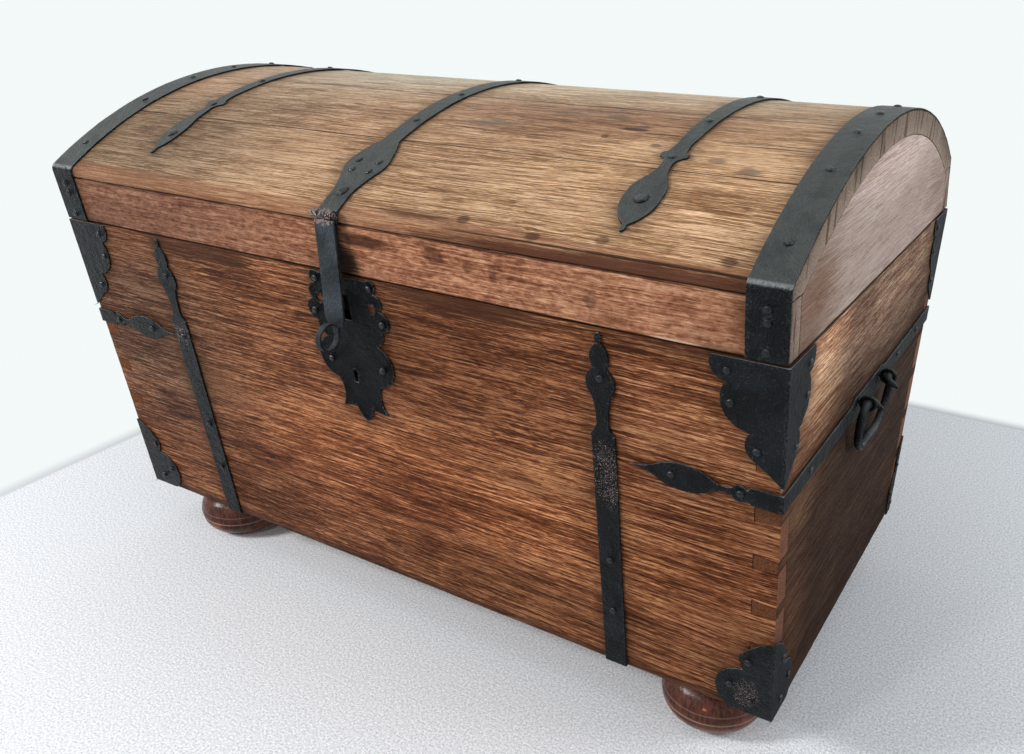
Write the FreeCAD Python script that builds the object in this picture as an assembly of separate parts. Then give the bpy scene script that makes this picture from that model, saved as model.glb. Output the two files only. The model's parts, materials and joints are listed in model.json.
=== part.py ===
import FreeCAD, Part
import math
import os

from FreeCAD import Placement, Rotation, Vector

os.makedirs("parts", exist_ok=True)

# A dome-topped oak blanket chest bound with forged iron. Millimetres and degrees.
# +X runs to the chest's right hand end, +Y to its back and +Z up. The origin is on the floor,
# midway between the outermost points of the front and the back.

# ---- Driving dimensions ----

# Carcase
chest_width = 1150.0
seam_depth = 780.0  # front to back just under the lid
body_height = 503.0
front_run_in = 80.0  # the foot of the front stands this far behind its top
back_run_in = 107.0
board = 30.0
bottom_board = 24.0
bottom_board_count = 3
seam_gap = 0.6  # between the shut lid and the body

# Dovetails: the ends of the side boards show as pins on the front and back
pin_count = 7
pin_first_drop = 55.0  # from the seam to the middle of the top pin
pin_last_rise = 40.0  # from the bottom to the middle of the lowest pin
pin_half_height = 8.0
pin_flare = 3.0  # a pin is this much taller each way at its root

# Bun feet
foot_height = 86.0
foot_radius = 71.0
foot_base_radius = 40.0
foot_neck_radius = 46.0
foot_widest_height = 41.0
foot_collar_radius = 50.0
foot_collar_height = 7.0
foot_insets_x = (131.0, 101.0)  # left and right feet's axes from the end faces
foot_inset_y = 73.0  # foot axis from the lower edge of the front or back
foot_tenon_radius = 16.0
foot_tenon_length = 18.0
foot_band = 8.0  # height of the band turned round the belly
foot_band_depth = 1.6

# Lid
rail_height = 70.0
nose_height = 13.0  # edge of the first stave, above the rail
lid_rise = 115.0  # crown above the top edge of the front
front_flare = 14.0  # the lid's front goes on leaning out
back_set_in = 30.0
stave = 30.0
gable = 30.0
stave_joint_angles = (-20.8, -7.4, 6.0, 20.0)

# Iron
iron = 3.0
sheet = 2.4  # corner irons and lock plate
band_width = 46.0
lower_back_end_share = 0.4  # lower back corner irons: width on the end over width on the back
band_foot = 1.0  # lower end of an end band, above the seam
body_strap_width = 32.0
body_strap_insets = (202.0, 213.0)  # left and right strap's middle from the end faces
body_strap_up_back = 130.0
body_strap_nail_drops = (64.0, 168.0)  # from the seam
body_strap_nail_rises = (93.0, 178.0)  # from the bottom, on the front
body_strap_back_nail_rises = (30.0, 100.0)
lid_strap_width = 27.0
lid_strap_insets = (177.0, 199.0)  # left and right strap's middle from the end faces
hinge_width = 52.0
hinge_leaf_length = 190.0
lid_strap_tips = (46.0, 32.0)  # front tips of the left and right strap, behind the lid's front corner
lid_strap_leaf_half_widths = (15.0, 23.0)
lid_strap_big_nails = (90.0, 80.0)  # big nail of each, behind the same corner
middle_strap_extra = 1.0  # half width over the other straps'
lock_x = -12.0  # lock plate, hasp and middle lid strap

# Lid hinges and hasp hinge
hinge_knuckles = 5
hasp_knuckles = 3
hinge_radius = 7.0
hinge_pin_radius = 3.2
hinge_standoff = 0.6  # wood to barrel
hasp_knuckle_radius = 6.5
hasp_pin_radius = 3.0
hasp_barrel_drop = 1.0  # barrel axis under the lid's front corner
pin_clearance = 0.05
knuckle_gap = 0.4
pin_head = 2.0  # length
pin_head_margin = 1.4  # pin head's radius over the pin's
pin_knob_radius = 5.5
pin_knob_length = 6.5

# Hasp
hasp_width = 33.0
hasp_lean = 2.4  # its foot hangs in towards the chest
hasp_thickness = 4.0
hasp_length = 151.0
hasp_curl_radius = 19.0
hasp_curl_width = 9.0
hasp_curl_thickness = 3.0
hasp_curl_open = 325.0
staple_depth = 12.5
staple_height = 26.0
staple_width = 8.0
staple_stock = 4.0
staple_drop = 48.0  # middle of the staple under the seam

# Lock
plate_length = 226.0
keyhole_drop = 149.0
keyhole_x = -6.0
keyhole_radius = 4.5
keyhole_slot = 5.0
keyhole_slot_length = 14.0
slot_side_room = 2.5  # each side of the staple
slot_end_room = 5.5
plate_eye_radius = 6.5
plate_eye_x = 44.0
plate_eye_drop = 42.0
case_half_width = 32.0
case_top = 20.0
case_bottom = 166.0
case_backing = 4.0  # wood between the case and the front board's inner face
case_wall = 2.0
bolt_thickness = 3.0
bolt_height = 11.0
bolt_gap = 1.0  # plate to bolt
bolt_travel = 18.0
bolt_rise = 1.5  # bolt's head over the middle of the staple
bolt_tail_width = 7.0
bolt_foot_drop = 122.0
bolt_foot_height = 10.0
bolt_foot_reach = 4.0  # foot's end past the keyhole
talon_width = 6.0  # notch in the foot that the key's bit turns in
talon_depth = 4.0
guide_wall = 3.0
guide_width = 8.0
lower_guide_x = -4.0
guide_grip = 2.5  # upper guide's middle past the thrown bolt's tip
spring_thickness = 1.2
spring_foot = 4.0
key_pin_radius = 2.2
key_pin_setback = 6.0  # its tip behind the plate
fit = 0.3  # loose fit between plain forged pieces

# End handles
handle_y = -21.0  # middle of the handle, from the middle of the seam
handle_drop = 168.0  # strap's middle, under the seam
handle_rise = 8.0  # handle's axis over the strap's middle
handle_strap_width = 24.0
handle_strap_nails = (46.0, 128.0)  # from the corner, along the front; the first also at the back
handle_strap_end_nails = (90.0, 210.0)  # from the corner, along the end; the first also at the front
handle_swell = 5.0
handle_swell_reach = 26.0  # swelled stretch past each eye
bail_radius = 5.5
bail_half_width = 77.0
bail_drop = 68.0
bail_top_bend = 18.0
bail_bottom_bend = 46.0
bail_lean = 3.5  # its foot hangs in towards the chest
bail_tip_bend = 7.0
bail_tip_length = 13.0
bail_tip_droop = 25.0
bail_tip_radius = 1.6
grip_swell = 1.8
grip_half_length = 27.0
eye_stock = 3.0
eye_play = 3.0  # along the handle's bar, each side of an eye
eye_peen_radius = 6.5
eye_peen = 2.0

# Nails
nail_head_radius = 5.2
nail_head_height = 2.4
big_nail_head_radius = 9.0
big_nail_head_height = 3.4
shank_radius = 1.7
shank_length = 22.0
shank_clearance = 0.05

# ---- Derived places ----

half_width = chest_width / 2
body_strap_x = (-half_width + body_strap_insets[0], half_width - body_strap_insets[1])
lid_strap_x = (-half_width + lid_strap_insets[0], half_width - lid_strap_insets[1])
body_bottom_z = foot_height
seam_z = body_bottom_z + body_height
lid_bottom_z = seam_z + seam_gap
pin_pitch = (body_height - pin_first_drop - pin_last_rise) / (pin_count - 1)
rail_top_z = seam_z + rail_height
side_height = rail_height + nose_height
corner_z = seam_z + side_height
curl_mean_radius = hasp_curl_radius - hasp_curl_thickness / 2
front_reach = front_flare + hasp_knuckle_radius + hinge_standoff + 2 * curl_mean_radius + hasp_curl_thickness / 2
back_reach = 2 * hinge_radius + hinge_standoff
seam_middle_y = (front_reach - back_reach) / 2
seam_front_y = seam_middle_y - seam_depth / 2
seam_back_y = seam_middle_y + seam_depth / 2

front_tilt = math.atan2(front_run_in, body_height)
back_tilt = math.atan2(back_run_in, body_height)
lid_front_tilt = math.atan2(front_flare, side_height)
lid_back_tilt = math.atan2(back_set_in, side_height)

lid_corner_y = seam_front_y - front_flare
lid_back_corner_y = seam_back_y - back_set_in
lid_chord = lid_back_corner_y - lid_corner_y
lid_radius = (lid_chord**2 / 4 + lid_rise**2) / (2 * lid_rise)
arc_y = (lid_corner_y + lid_back_corner_y) / 2
arc_z = corner_z + lid_rise - lid_radius

hinge_y = seam_back_y + hinge_standoff + hinge_radius
hinge_z = seam_z + seam_gap / 2
hasp_axis_y = lid_corner_y - hinge_standoff - hasp_knuckle_radius
hasp_axis_z = corner_z - hasp_barrel_drop
handle_axis_x = half_width + iron + fit + 2 * eye_stock + fit + bail_radius
handle_axis_y = seam_middle_y + handle_y
handle_strap_z = seam_z - handle_drop
handle_axis_z = handle_strap_z + handle_rise
eye_y = bail_half_width - bail_top_bend - eye_stock - eye_play  # eye from the middle of the handle
handle_swell_half_length = eye_y + handle_swell_reach
case_depth = board - case_backing
slot_width = staple_width + 2 * slot_side_room
slot_height = staple_height + 2 * slot_end_room
bolt_tip = slot_width / 2  # bolt's tip from the middle of the slot when drawn back
upper_guide_x = bolt_tip - bolt_travel - guide_grip
bolt_foot_left = keyhole_x - bolt_foot_reach
foot_x = (-half_width + foot_insets_x[0], half_width - foot_insets_x[1])
foot_front_y = seam_front_y + front_run_in + foot_inset_y
foot_back_y = seam_back_y - back_run_in - foot_inset_y

X = Vector(1, 0, 0)
Y = Vector(0, 1, 0)
Z = Vector(0, 0, 1)


def front_y(z, offset=0.0):
    """y of the body's front face at height z, moved out by offset."""
    return seam_front_y + front_run_in * (seam_z - z) / body_height - offset / math.cos(front_tilt)


def back_y(z, offset=0.0):
    """y of the body's back face at height z, moved out by offset."""
    return seam_back_y - back_run_in * (seam_z - z) / body_height + offset / math.cos(back_tilt)


def lid_front_y(z, offset=0.0):
    """y of the lid's front face at height z, moved out by offset."""
    return seam_front_y - front_flare * (z - seam_z) / side_height - offset / math.cos(lid_front_tilt)


def lid_back_y(z, offset=0.0):
    """y of the lid's back face at height z, moved out by offset."""
    return seam_back_y - back_set_in * (z - seam_z) / side_height + offset / math.cos(lid_back_tilt)


def face_placement(origin, right, up):
    """Placement of a flat face: drawn x goes to right, drawn y to up and drawn z out of the face."""
    return Placement(origin, Rotation(right, up, right.cross(up), "ZXY"))


# Each face's drawn origin is on its edge at the seam, so a drop under the seam is a negative y.
on_front = face_placement(
    Vector(0, seam_front_y, seam_z), X, Vector(0, -math.sin(front_tilt), math.cos(front_tilt))
)
on_back = face_placement(
    Vector(0, seam_back_y, seam_z), -X, Vector(0, math.sin(back_tilt), math.cos(back_tilt))
)
on_lid_front = face_placement(
    Vector(0, seam_front_y, seam_z), X, Vector(0, -math.sin(lid_front_tilt), math.cos(lid_front_tilt))
)
on_lid_back = face_placement(
    Vector(0, seam_back_y, seam_z), -X, Vector(0, -math.sin(lid_back_tilt), math.cos(lid_back_tilt))
)
on_right_end = face_placement(Vector(half_width, 0, 0), Y, Z)


def on_dome(x, y):
    """Placement on the dome's outer surface over the point (x, y), with drawn z out of it."""
    angle = math.asin((y - arc_y) / lid_radius)
    out = Vector(0, math.sin(angle), math.cos(angle))
    origin = Vector(x, arc_y, arc_z) + out * lid_radius
    return Placement(origin, Rotation(X, out.cross(X), out, "ZXY"))


# ---- Shape helpers ----


def edges_along(chain, to_point):
    """Edges along a chain: a plain point is reached straight, and a pair (middle, end) by an arc."""
    here = to_point(*chain[0])
    edges = []
    for step in chain[1:]:
        if isinstance(step[0], tuple):
            middle, end = [to_point(*point) for point in step]
            edges.append(Part.Arc(here, middle, end).toShape())
        else:
            end = to_point(*step)
            edges.append(Part.LineSegment(here, end).toShape())
        here = end
    return edges


def closed_face(chain, to_point):
    """Face inside a chain that ends where it starts."""
    return Part.Face(Part.Wire(edges_along(chain, to_point)))


def mirrored_face(chain, to_point):
    """Face of a chain of (station, half width) and its mirror image across the line of stations."""
    near = edges_along(chain, to_point)
    far = edges_along(chain, lambda station, half: to_point(station, -half))
    edges = near + far
    for end in (chain[0], chain[-1]):
        station, half = end[1] if isinstance(end[0], tuple) else end
        if half > 0:
            edges.append(Part.LineSegment(to_point(station, half), to_point(station, -half)).toShape())
    return Part.Face(Part.Wire(Part.__sortEdges__(edges)))


def section(points, x0, x1):
    """Solid whose outline is the given (y, z) points, from x0 to x1."""
    wire = Part.makePolygon([Vector(x0, y, z) for y, z in list(points) + [points[0]]])
    return Part.Face(wire).extrude(X * (x1 - x0))


def on_face(shape, placement):
    return shape.transformed(placement.toMatrix())


def plate(face, thickness, placement):
    """Sheet of the given thickness standing out of a face."""
    return on_face(face.extrude(Z * thickness), placement)


def box(x0, x1, y0, y1, z0, z1):
    return Part.makeBox(x1 - x0, y1 - y0, z1 - z0, Vector(x0, y0, z0))


def fused(shapes):
    """One solid out of shapes that meet."""
    return shapes[0].multiFuse(shapes[1:]).removeSplitter()


def mirrored_x(shape):
    return shape.mirror(Vector(0, 0, 0), X)


# ---- Nails ----


def revolved_nail(head_radius, head_height):
    """Forged nail: a domed head on a round shank, with its head's seat at the origin."""
    chain = [
        (0, head_height),
        ((head_radius * 0.72, head_height * 0.72), (head_radius, 0)),
        (shank_radius, 0),
        (shank_radius, -shank_length),
        (0, -shank_length),
        (0, head_height),
    ]
    return closed_face(chain, lambda r, z: Vector(r, 0, z)).revolve(Vector(0, 0, 0), Z, 360)


small_nail = revolved_nail(nail_head_radius, nail_head_height)
big_nail = revolved_nail(big_nail_head_radius, big_nail_head_height)
nail_hole = Part.makeCylinder(shank_radius + shank_clearance, shank_length + iron, Vector(0, 0, -shank_length), Z)


class Nails:
    """Nails of one group, with the holes that their shanks need."""

    def __init__(self):
        self.solids = []
        self.holes = []

    def add(self, placement, x, y, seat, shape=small_nail):
        """Drives a nail at (x, y) of a face, with its head on iron that is seat thick."""
        place = placement.multiply(Placement(Vector(x, y, seat), Rotation()))
        self.solids.append(on_face(shape, place))
        self.holes.append(on_face(nail_hole, place))

    def add_at_both_ends(self, placement, x, y, seat):
        """Drives a small nail at the right hand end, and its mirror image at the left."""
        self.add(placement, x, y, seat)
        self.solids.append(mirrored_x(self.solids[-1]))
        self.holes.append(mirrored_x(self.holes[-1]))


front_nails = Nails()
back_nails = Nails()
end_nails = Nails()
lid_nails = Nails()


def drilled(shape, *groups):
    """Shape with the holes of every nail that reaches it."""
    holes = [hole for group in groups for hole in group.holes if shape.BoundBox.intersect(hole.BoundBox)]
    return shape.cut(Part.makeCompound(holes)) if holes else shape


# ---- Carcase ----


def dovetail_pins():
    """Prisms along Y, at the right hand end, whose part inside the front or back is a dovetail pin."""
    pins = []
    for index in range(pin_count):
        z = seam_z - pin_first_drop - index * pin_pitch
        root = pin_half_height + pin_flare
        outline = [
            Vector(half_width - board, seam_front_y - board, z - root),
            Vector(half_width, seam_front_y - board, z - pin_half_height),
            Vector(half_width, seam_front_y - board, z + pin_half_height),
            Vector(half_width - board, seam_front_y - board, z + root),
        ]
        wire = Part.makePolygon(outline + outline[:1])
        pins.append(Part.Face(wire).extrude(Y * (seam_depth + 2 * board)))
    return Part.makeCompound(pins)


def wall(outer_y, inward, x0, x1):
    """Full-height board that leans with the face outer_y."""
    lower = outer_y(body_bottom_z)
    upper = outer_y(seam_z)
    outline = [(lower, body_bottom_z), (upper, seam_z), (upper + inward, seam_z), (lower + inward, body_bottom_z)]
    return section(outline, x0, x1)


def right_side_board(pins, front_wall, back_wall):
    """Side board between the front and back, with its pins through both."""
    lower = body_bottom_z
    outline = [
        (front_y(lower) + board, lower),
        (front_y(seam_z) + board, seam_z),
        (back_y(seam_z) - board, seam_z),
        (back_y(lower) - board, lower),
    ]
    panel = section(outline, half_width - board, half_width)
    shown = pins.common(front_wall).Solids + pins.common(back_wall).Solids
    return fused([panel] + shown)


def bottom_piece(index):
    """One of the boards of the bottom, which lie between the four walls."""
    inner_x = half_width - board
    top = body_bottom_z + bottom_board
    front_low = front_y(body_bottom_z) + board
    back_low = back_y(body_bottom_z) - board
    step = (back_low - front_low) / bottom_board_count
    near = front_low + index * step
    near_top = front_y(top) + board if index == 0 else near
    far = near + step
    far_top = back_y(top) - board if index == bottom_board_count - 1 else far
    outline = [(near, body_bottom_z), (near_top, top), (far_top, top), (far, body_bottom_z)]
    return section(outline, -inner_x, inner_x)


def bun_foot(x, y):
    """Turned foot: a flattened ball with a fine band round its belly, a collar and a tenon."""
    neck_z = foot_height - foot_collar_height
    top = foot_height + foot_tenon_length
    belly = foot_widest_height
    band = foot_band / 2
    shoulder = foot_radius - foot_band_depth
    lower_middle = foot_base_radius + (foot_radius - foot_base_radius) * 0.8
    upper_middle = foot_neck_radius + (foot_radius - foot_neck_radius) * 0.8
    chain = [
        (0, 0),
        (foot_base_radius, 0),
        ((lower_middle, belly * 0.4), (shoulder, belly - band)),
        ((foot_radius, belly), (shoulder, belly + band)),
        ((upper_middle, neck_z - (neck_z - belly) * 0.4), (foot_neck_radius, neck_z)),
        (foot_collar_radius, neck_z + foot_collar_height / 3),
        (foot_collar_radius, foot_height),
        (foot_tenon_radius, foot_height),
        (foot_tenon_radius, top),
        (0, top),
        (0, 0),
    ]
    foot = closed_face(chain, lambda r, z: Vector(r, 0, z)).revolve(Vector(0, 0, 0), Z, 360)
    foot.translate(Vector(x, y, 0))
    return foot


def foot_mortise(x, y):
    return Part.makeCylinder(foot_tenon_radius, foot_tenon_length, Vector(x, y, body_bottom_z), Z)


# ---- Straps and corner irons on the body ----


def body_strap(x):
    """Strap with a leaf-and-bulge finial on the front, under the bottom and a little way up the back."""
    half = body_strap_width / 2
    shoulder = 140.0
    chain = [
        (5, 0.8),
        ((11, 4.6), (18, 2.2)),
        ((37, 12.5), (51, 8.6)),
        ((66, 18.5), (88, 13)),
        ((103, 9.6), (120, 8.5)),
        ((132, 10), (shoulder, half)),
        (shoulder + iron, half),
    ]
    finial = plate(mirrored_face(chain, lambda drop, side: Vector(x + side, -drop, 0)), iron, on_front)
    front_top = seam_z - shoulder * math.cos(front_tilt)
    back_top = body_bottom_z + body_strap_up_back
    floor_z = body_bottom_z - iron
    outline = [
        (front_y(front_top, iron), front_top),
        (front_y(floor_z, iron), floor_z),
        (back_y(floor_z, iron), floor_z),
        (back_y(back_top, iron), back_top),
        (back_y(back_top), back_top),
        (back_y(body_bottom_z), body_bottom_z),
        (front_y(body_bottom_z), body_bottom_z),
        (front_y(front_top), front_top),
    ]
    foot_drop = body_height / math.cos(front_tilt)
    for drop in body_strap_nail_drops:
        front_nails.add(on_front, x, -drop, iron)
    for rise in body_strap_nail_rises:
        front_nails.add(on_front, x, rise - foot_drop, iron)
    for rise in body_strap_back_nail_rises:
        back_nails.add(on_back, -x, -(body_height - rise) / math.cos(back_tilt), iron)
    return fused([finial, section(outline, x - half, x + half)])


def corner_iron(chain, edge_y, face, tilt, inward, nails, spots, end_share=1.0):
    """Right hand corner iron: a scalloped flange on the front or back and another on the end.

    chain holds (distance from the corner, drop under the seam along the edge), and ends where it starts.
    On the end each distance is times end_share.
    """
    mirror = 1 if inward > 0 else -1

    def on_long_face(away, drop):
        return Vector(mirror * (half_width - away), -drop, 0)

    def on_end(away, drop):
        z = seam_z - drop * math.cos(tilt)
        return Vector(edge_y(z) + inward * away * end_share, z, 0)

    flange = plate(closed_face(chain, on_long_face), sheet, face)
    end_flange = plate(closed_face(chain, on_end), sheet, on_right_end)
    drops = [point[1] for point in chain if not isinstance(point[0], tuple) and point[0] == 0]
    top_z = seam_z - min(drops) * math.cos(tilt)
    low_z = seam_z - max(drops) * math.cos(tilt)
    corner = [
        (edge_y(top_z), top_z),
        (edge_y(top_z, sheet), top_z),
        (edge_y(low_z, sheet), low_z),
        (edge_y(low_z), low_z),
    ]
    for away, drop in spots:
        nails.add_at_both_ends(face, mirror * (half_width - away), -drop, sheet)
        spot = on_end(away, drop)
        end_nails.add_at_both_ends(on_right_end, spot.x, spot.y, sheet)
    return fused([flange, end_flange, section(corner, half_width, half_width + sheet)])


upper_iron_chain = [
    (0, 1),
    (82, 1),
    ((82, 20), (66, 32)),
    ((71, 60), (38, 89)),
    ((43, 108), (28, 126)),
    (0, 150),
    (0, 1),
]
upper_iron_spots = [(64, 18), (60, 56), (29, 110)]


def lower_iron_chain(tilt):
    """Outline of a lower corner iron, measured down from the seam on a face with this tilt."""
    foot_drop = body_height / math.cos(tilt)
    return [
        (0, foot_drop),
        (0, foot_drop - 132),
        ((25, foot_drop - 116), (44, foot_drop - 92)),
        (38, foot_drop - 73),
        ((72, foot_drop - 42), (54, foot_drop)),
        (0, foot_drop),
    ]


def lower_iron_spots(tilt):
    foot_drop = body_height / math.cos(tilt)
    return [(31, foot_drop - 88), (54, foot_drop - 40), (27, foot_drop - 20)]


def handle_strap():
    """Right hand strap: along the end through the handle, round both corners to leaf finials."""
    half = handle_strap_width / 2
    middle_z = handle_strap_z

    root = [(-iron, half), (34, half), (38, 7), ((46, 11.5), (56, 6))]
    leaf_tip = [((66, 4.2), (76, 6.5)), ((112, 19), (145, 11)), ((158, 4.5), (178, 1.0))]
    plain_tip = [((66, 4.0), (80, 1.0))]

    def finial(tip, face, mirror, tilt):
        centre_drop = handle_drop / math.cos(tilt)
        chain = root + tip
        shape = mirrored_face(
            chain, lambda away, side: Vector(mirror * (half_width - away), side - centre_drop, 0)
        )
        return plate(shape, iron, face)

    swell = half + handle_swell
    along_end = []
    for side in (1, -1):
        run = handle_swell_half_length
        along_end.append(
            [
                (handle_axis_y - run, side * half),
                ((handle_axis_y - run * 0.9, side * swell), (handle_axis_y - run * 0.7, side * swell)),
                (handle_axis_y + run * 0.7, side * swell),
                ((handle_axis_y + run * 0.9, side * swell), (handle_axis_y + run, side * half)),
            ]
        )
    boss_edges = []
    for chain in along_end:
        boss_edges += edges_along(chain, lambda y, rise: Vector(y, middle_z + rise, 0))
    for y in (handle_axis_y - handle_swell_half_length, handle_axis_y + handle_swell_half_length):
        boss_edges.append(Part.LineSegment(Vector(y, middle_z - half, 0), Vector(y, middle_z + half, 0)).toShape())
    boss = plate(Part.Face(Part.Wire(Part.__sortEdges__(boss_edges))), iron, on_right_end)
    low, high = middle_z - half, middle_z + half
    outline = [
        (front_y(low), low),
        (front_y(high), high),
        (back_y(high), high),
        (back_y(low), low),
    ]
    strip = section(outline, half_width, half_width + iron)
    for away in handle_strap_nails:
        front_nails.add_at_both_ends(on_front, half_width - away, -handle_drop / math.cos(front_tilt), iron)
    back_away = handle_strap_nails[0]
    back_nails.add_at_both_ends(on_back, back_away - half_width, -handle_drop / math.cos(back_tilt), iron)
    end_nails.add_at_both_ends(on_right_end, front_y(middle_z) + handle_strap_end_nails[0], middle_z, iron)
    for away in handle_strap_end_nails:
        end_nails.add_at_both_ends(on_right_end, back_y(middle_z) - away, middle_z, iron)
    front_finial = finial(leaf_tip, on_front, 1, front_tilt)
    back_finial = finial(plain_tip, on_back, -1, back_tilt)
    return fused([strip, boss, front_finial, back_finial])


# ---- End handles ----


def handle_eye(offset):
    """Eye bolt through the right hand strap and board, peened over inside."""
    ring = Part.makeTorus(
        bail_radius + fit + eye_stock, eye_stock, Vector(handle_axis_x, handle_axis_y + offset, handle_axis_z), Y
    )
    inner_x = half_width - board
    outer_x = handle_axis_x - bail_radius - fit - eye_stock
    foot = Vector(inner_x - eye_peen, handle_axis_y + offset, handle_axis_z)
    shank = Part.makeCylinder(eye_stock, outer_x - foot.x, foot, X)
    peen = Part.makeCylinder(eye_peen_radius, eye_peen, foot, X)
    return fused([ring, shank, peen])


def eye_hole(offset):
    foot = Vector(half_width - board - eye_peen, handle_axis_y + offset, handle_axis_z)
    return Part.makeCylinder(eye_stock + shank_clearance, board + iron + 2 * eye_peen, foot, X)


def bail():
    """Right hand drop handle: a round bar bellied past its eyes, with a swelled grip and tips turned out."""
    x, y, z = handle_axis_x, handle_axis_y, handle_axis_z
    end_y = eye_y - eye_stock - eye_play

    def to_point(along, drop):
        return Vector(x, y + along, z - drop)

    s = math.sin(math.radians(45))
    half, top, bend = bail_half_width, bail_top_bend, bail_bottom_bend
    lower = bail_drop - bend
    inner = half - bend
    chain = [
        (-end_y, 0),
        (top - half, 0),
        ((top - half - top * s, top - top * s), (-half, top)),
        (-half, lower),
        ((-inner - bend * s, lower + bend * s), (-inner, bail_drop)),
        (inner, bail_drop),
        ((inner + bend * s, lower + bend * s), (half, lower)),
        (half, top),
        ((half - top + top * s, top - top * s), (half - top, 0)),
        (end_y, 0),
    ]
    path = Part.Wire(edges_along(chain, to_point))
    start = Part.Wire([Part.makeCircle(bail_radius, to_point(-end_y, 0), Y)])
    bar = path.makePipeShell([start], True, True)
    pieces = [bar]
    for side in (-1, 1):
        bend_centre = Vector(x + bail_tip_bend, y + side * end_y, z)
        section_face = Part.Face(Part.Wire([Part.makeCircle(bail_radius, to_point(side * end_y, 0), Y)]))
        bent = section_face.revolve(bend_centre, Z, 90 * side)
        tip_base = bend_centre - Y * (side * bail_tip_bend)
        cone = Part.makeCone(bail_radius, bail_tip_radius, bail_tip_length, tip_base, X)
        for piece in (bent, cone):
            piece.rotate(Vector(x, y, z), Y, bail_tip_droop)
            pieces.append(piece)
    grip = [
        (-grip_half_length, 0),
        (-grip_half_length, bail_radius),
        ((0, bail_radius + grip_swell), (grip_half_length, bail_radius)),
        (grip_half_length, 0),
        (-grip_half_length, 0),
    ]
    grip_face = closed_face(grip, lambda along, radius: Vector(x, y + along, z - bail_drop + radius))
    pieces.append(grip_face.revolve(Vector(x, y, z - bail_drop), Y, 360))
    handle = fused(pieces)
    handle.rotate(Vector(x, y, z), Y, bail_lean)
    return handle


# ---- Lid ----


def lid_corner(face_y, offset):
    """(y, z) where the lid's front or back face, moved out by offset, meets the dome moved out as far."""
    radius = lid_radius + offset
    slope = face_y(1.0, offset) - face_y(0.0, offset)
    start = face_y(0.0, offset) - arc_y
    a = slope * slope + 1
    b = start * slope - arc_z
    c = start * start + arc_z * arc_z - radius * radius
    z = (-b + math.sqrt(b * b - a * c)) / a
    return face_y(z, offset), z


def lid_chain(offset, front_bottom_z, back_bottom_z):
    """Chain of (y, z) up the lid's front, over its dome and down its back, moved out by offset."""
    crown = (arc_y, arc_z + lid_radius + offset)
    return [
        (lid_front_y(front_bottom_z, offset), front_bottom_z),
        lid_corner(lid_front_y, offset),
        (crown, lid_corner(lid_back_y, offset)),
        (lid_back_y(back_bottom_z, offset), back_bottom_z),
    ]


def lid_envelope(offset, x0, x1):
    """Everything inside the lid's surface moved out by offset."""
    chain = lid_chain(offset, lid_bottom_z, lid_bottom_z)
    face = closed_face(chain + chain[:1], lambda y, z: Vector(x0, y, z))
    return face.extrude(X * (x1 - x0))


def lid_skin(x0, x1, front_bottom_z, back_bottom_z):
    """Iron bent over the whole lid from x0 to x1."""
    inner = lid_chain(0.0, front_bottom_z, back_bottom_z)
    outer = lid_chain(iron, front_bottom_z, back_bottom_z)
    crown_edges = edges_along(inner, lambda y, z: Vector(x0, y, z))
    crown_edges += edges_along(outer, lambda y, z: Vector(x0, y, z))
    for near, far in ((inner[0], outer[0]), (inner[-1], outer[-1])):
        crown_edges.append(Part.LineSegment(Vector(x0, *near), Vector(x0, *far)).toShape())
    return Part.Face(Part.Wire(Part.__sortEdges__(crown_edges))).extrude(X * (x1 - x0))


def dome_wedge(from_angle, to_angle):
    """Wedge of the dome between two angles from the vertical."""
    reach = 2 * lid_radius
    points = [(arc_y, arc_z)]
    for angle in (from_angle, to_angle):
        a = math.radians(angle)
        points.append((arc_y + reach * math.sin(a), arc_z + reach * math.cos(a)))
    return section(points, -half_width, half_width)


def lid_boards():
    """The two rails and the staves of the dome, cut out of one shell."""
    shell = lid_envelope(0.0, -half_width, half_width).cut(lid_envelope(-stave, -half_width, half_width))
    reach = seam_depth
    rail_zone = box(-half_width, half_width, -reach, reach, lid_bottom_z - stave, rail_top_z)
    dome_zone = box(-half_width, half_width, -reach, reach, rail_top_z, rail_top_z + reach)
    rails = sorted(shell.common(rail_zone).Solids, key=lambda solid: solid.BoundBox.YMin)
    dome = shell.common(dome_zone)
    angles = (-60.0,) + stave_joint_angles + (60.0,)
    staves = [dome.common(dome_wedge(low, high)) for low, high in zip(angles, angles[1:])]
    return rails[0], rails[-1], staves


def knuckle_spans(centre_x, width, count, own):
    """x ranges of the knuckles of one leaf: own is 0 for the outer leaf and 1 for the inner one."""
    step = width / count
    left = centre_x - width / 2
    spans = []
    for index in range(count):
        if index % 2 == own:
            spans.append((left + index * step + knuckle_gap / 2, left + (index + 1) * step - knuckle_gap / 2))
    return spans


def barrel(spans, y, z, radius):
    return [Part.makeCylinder(radius, x1 - x0, Vector(x0, y, z), X) for x0, x1 in spans]


def with_knuckles(leaf, own, centre_x, width, count, y, z, radius, pin_radius):
    """Leaf with its own knuckles, relieved for the other leaf's and bored for the pin."""
    other = [(x0 - knuckle_gap, x1 + knuckle_gap) for x0, x1 in knuckle_spans(centre_x, width, count, 1 - own)]
    relieved = leaf.cut(Part.makeCompound(barrel(other, y, z, radius + fit)))
    joined = fused([relieved] + barrel(knuckle_spans(centre_x, width, count, own), y, z, radius))
    bore = Part.makeCylinder(pin_radius + pin_clearance, width * 2, Vector(centre_x - width, y, z), X)
    return joined.cut(bore)


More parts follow.
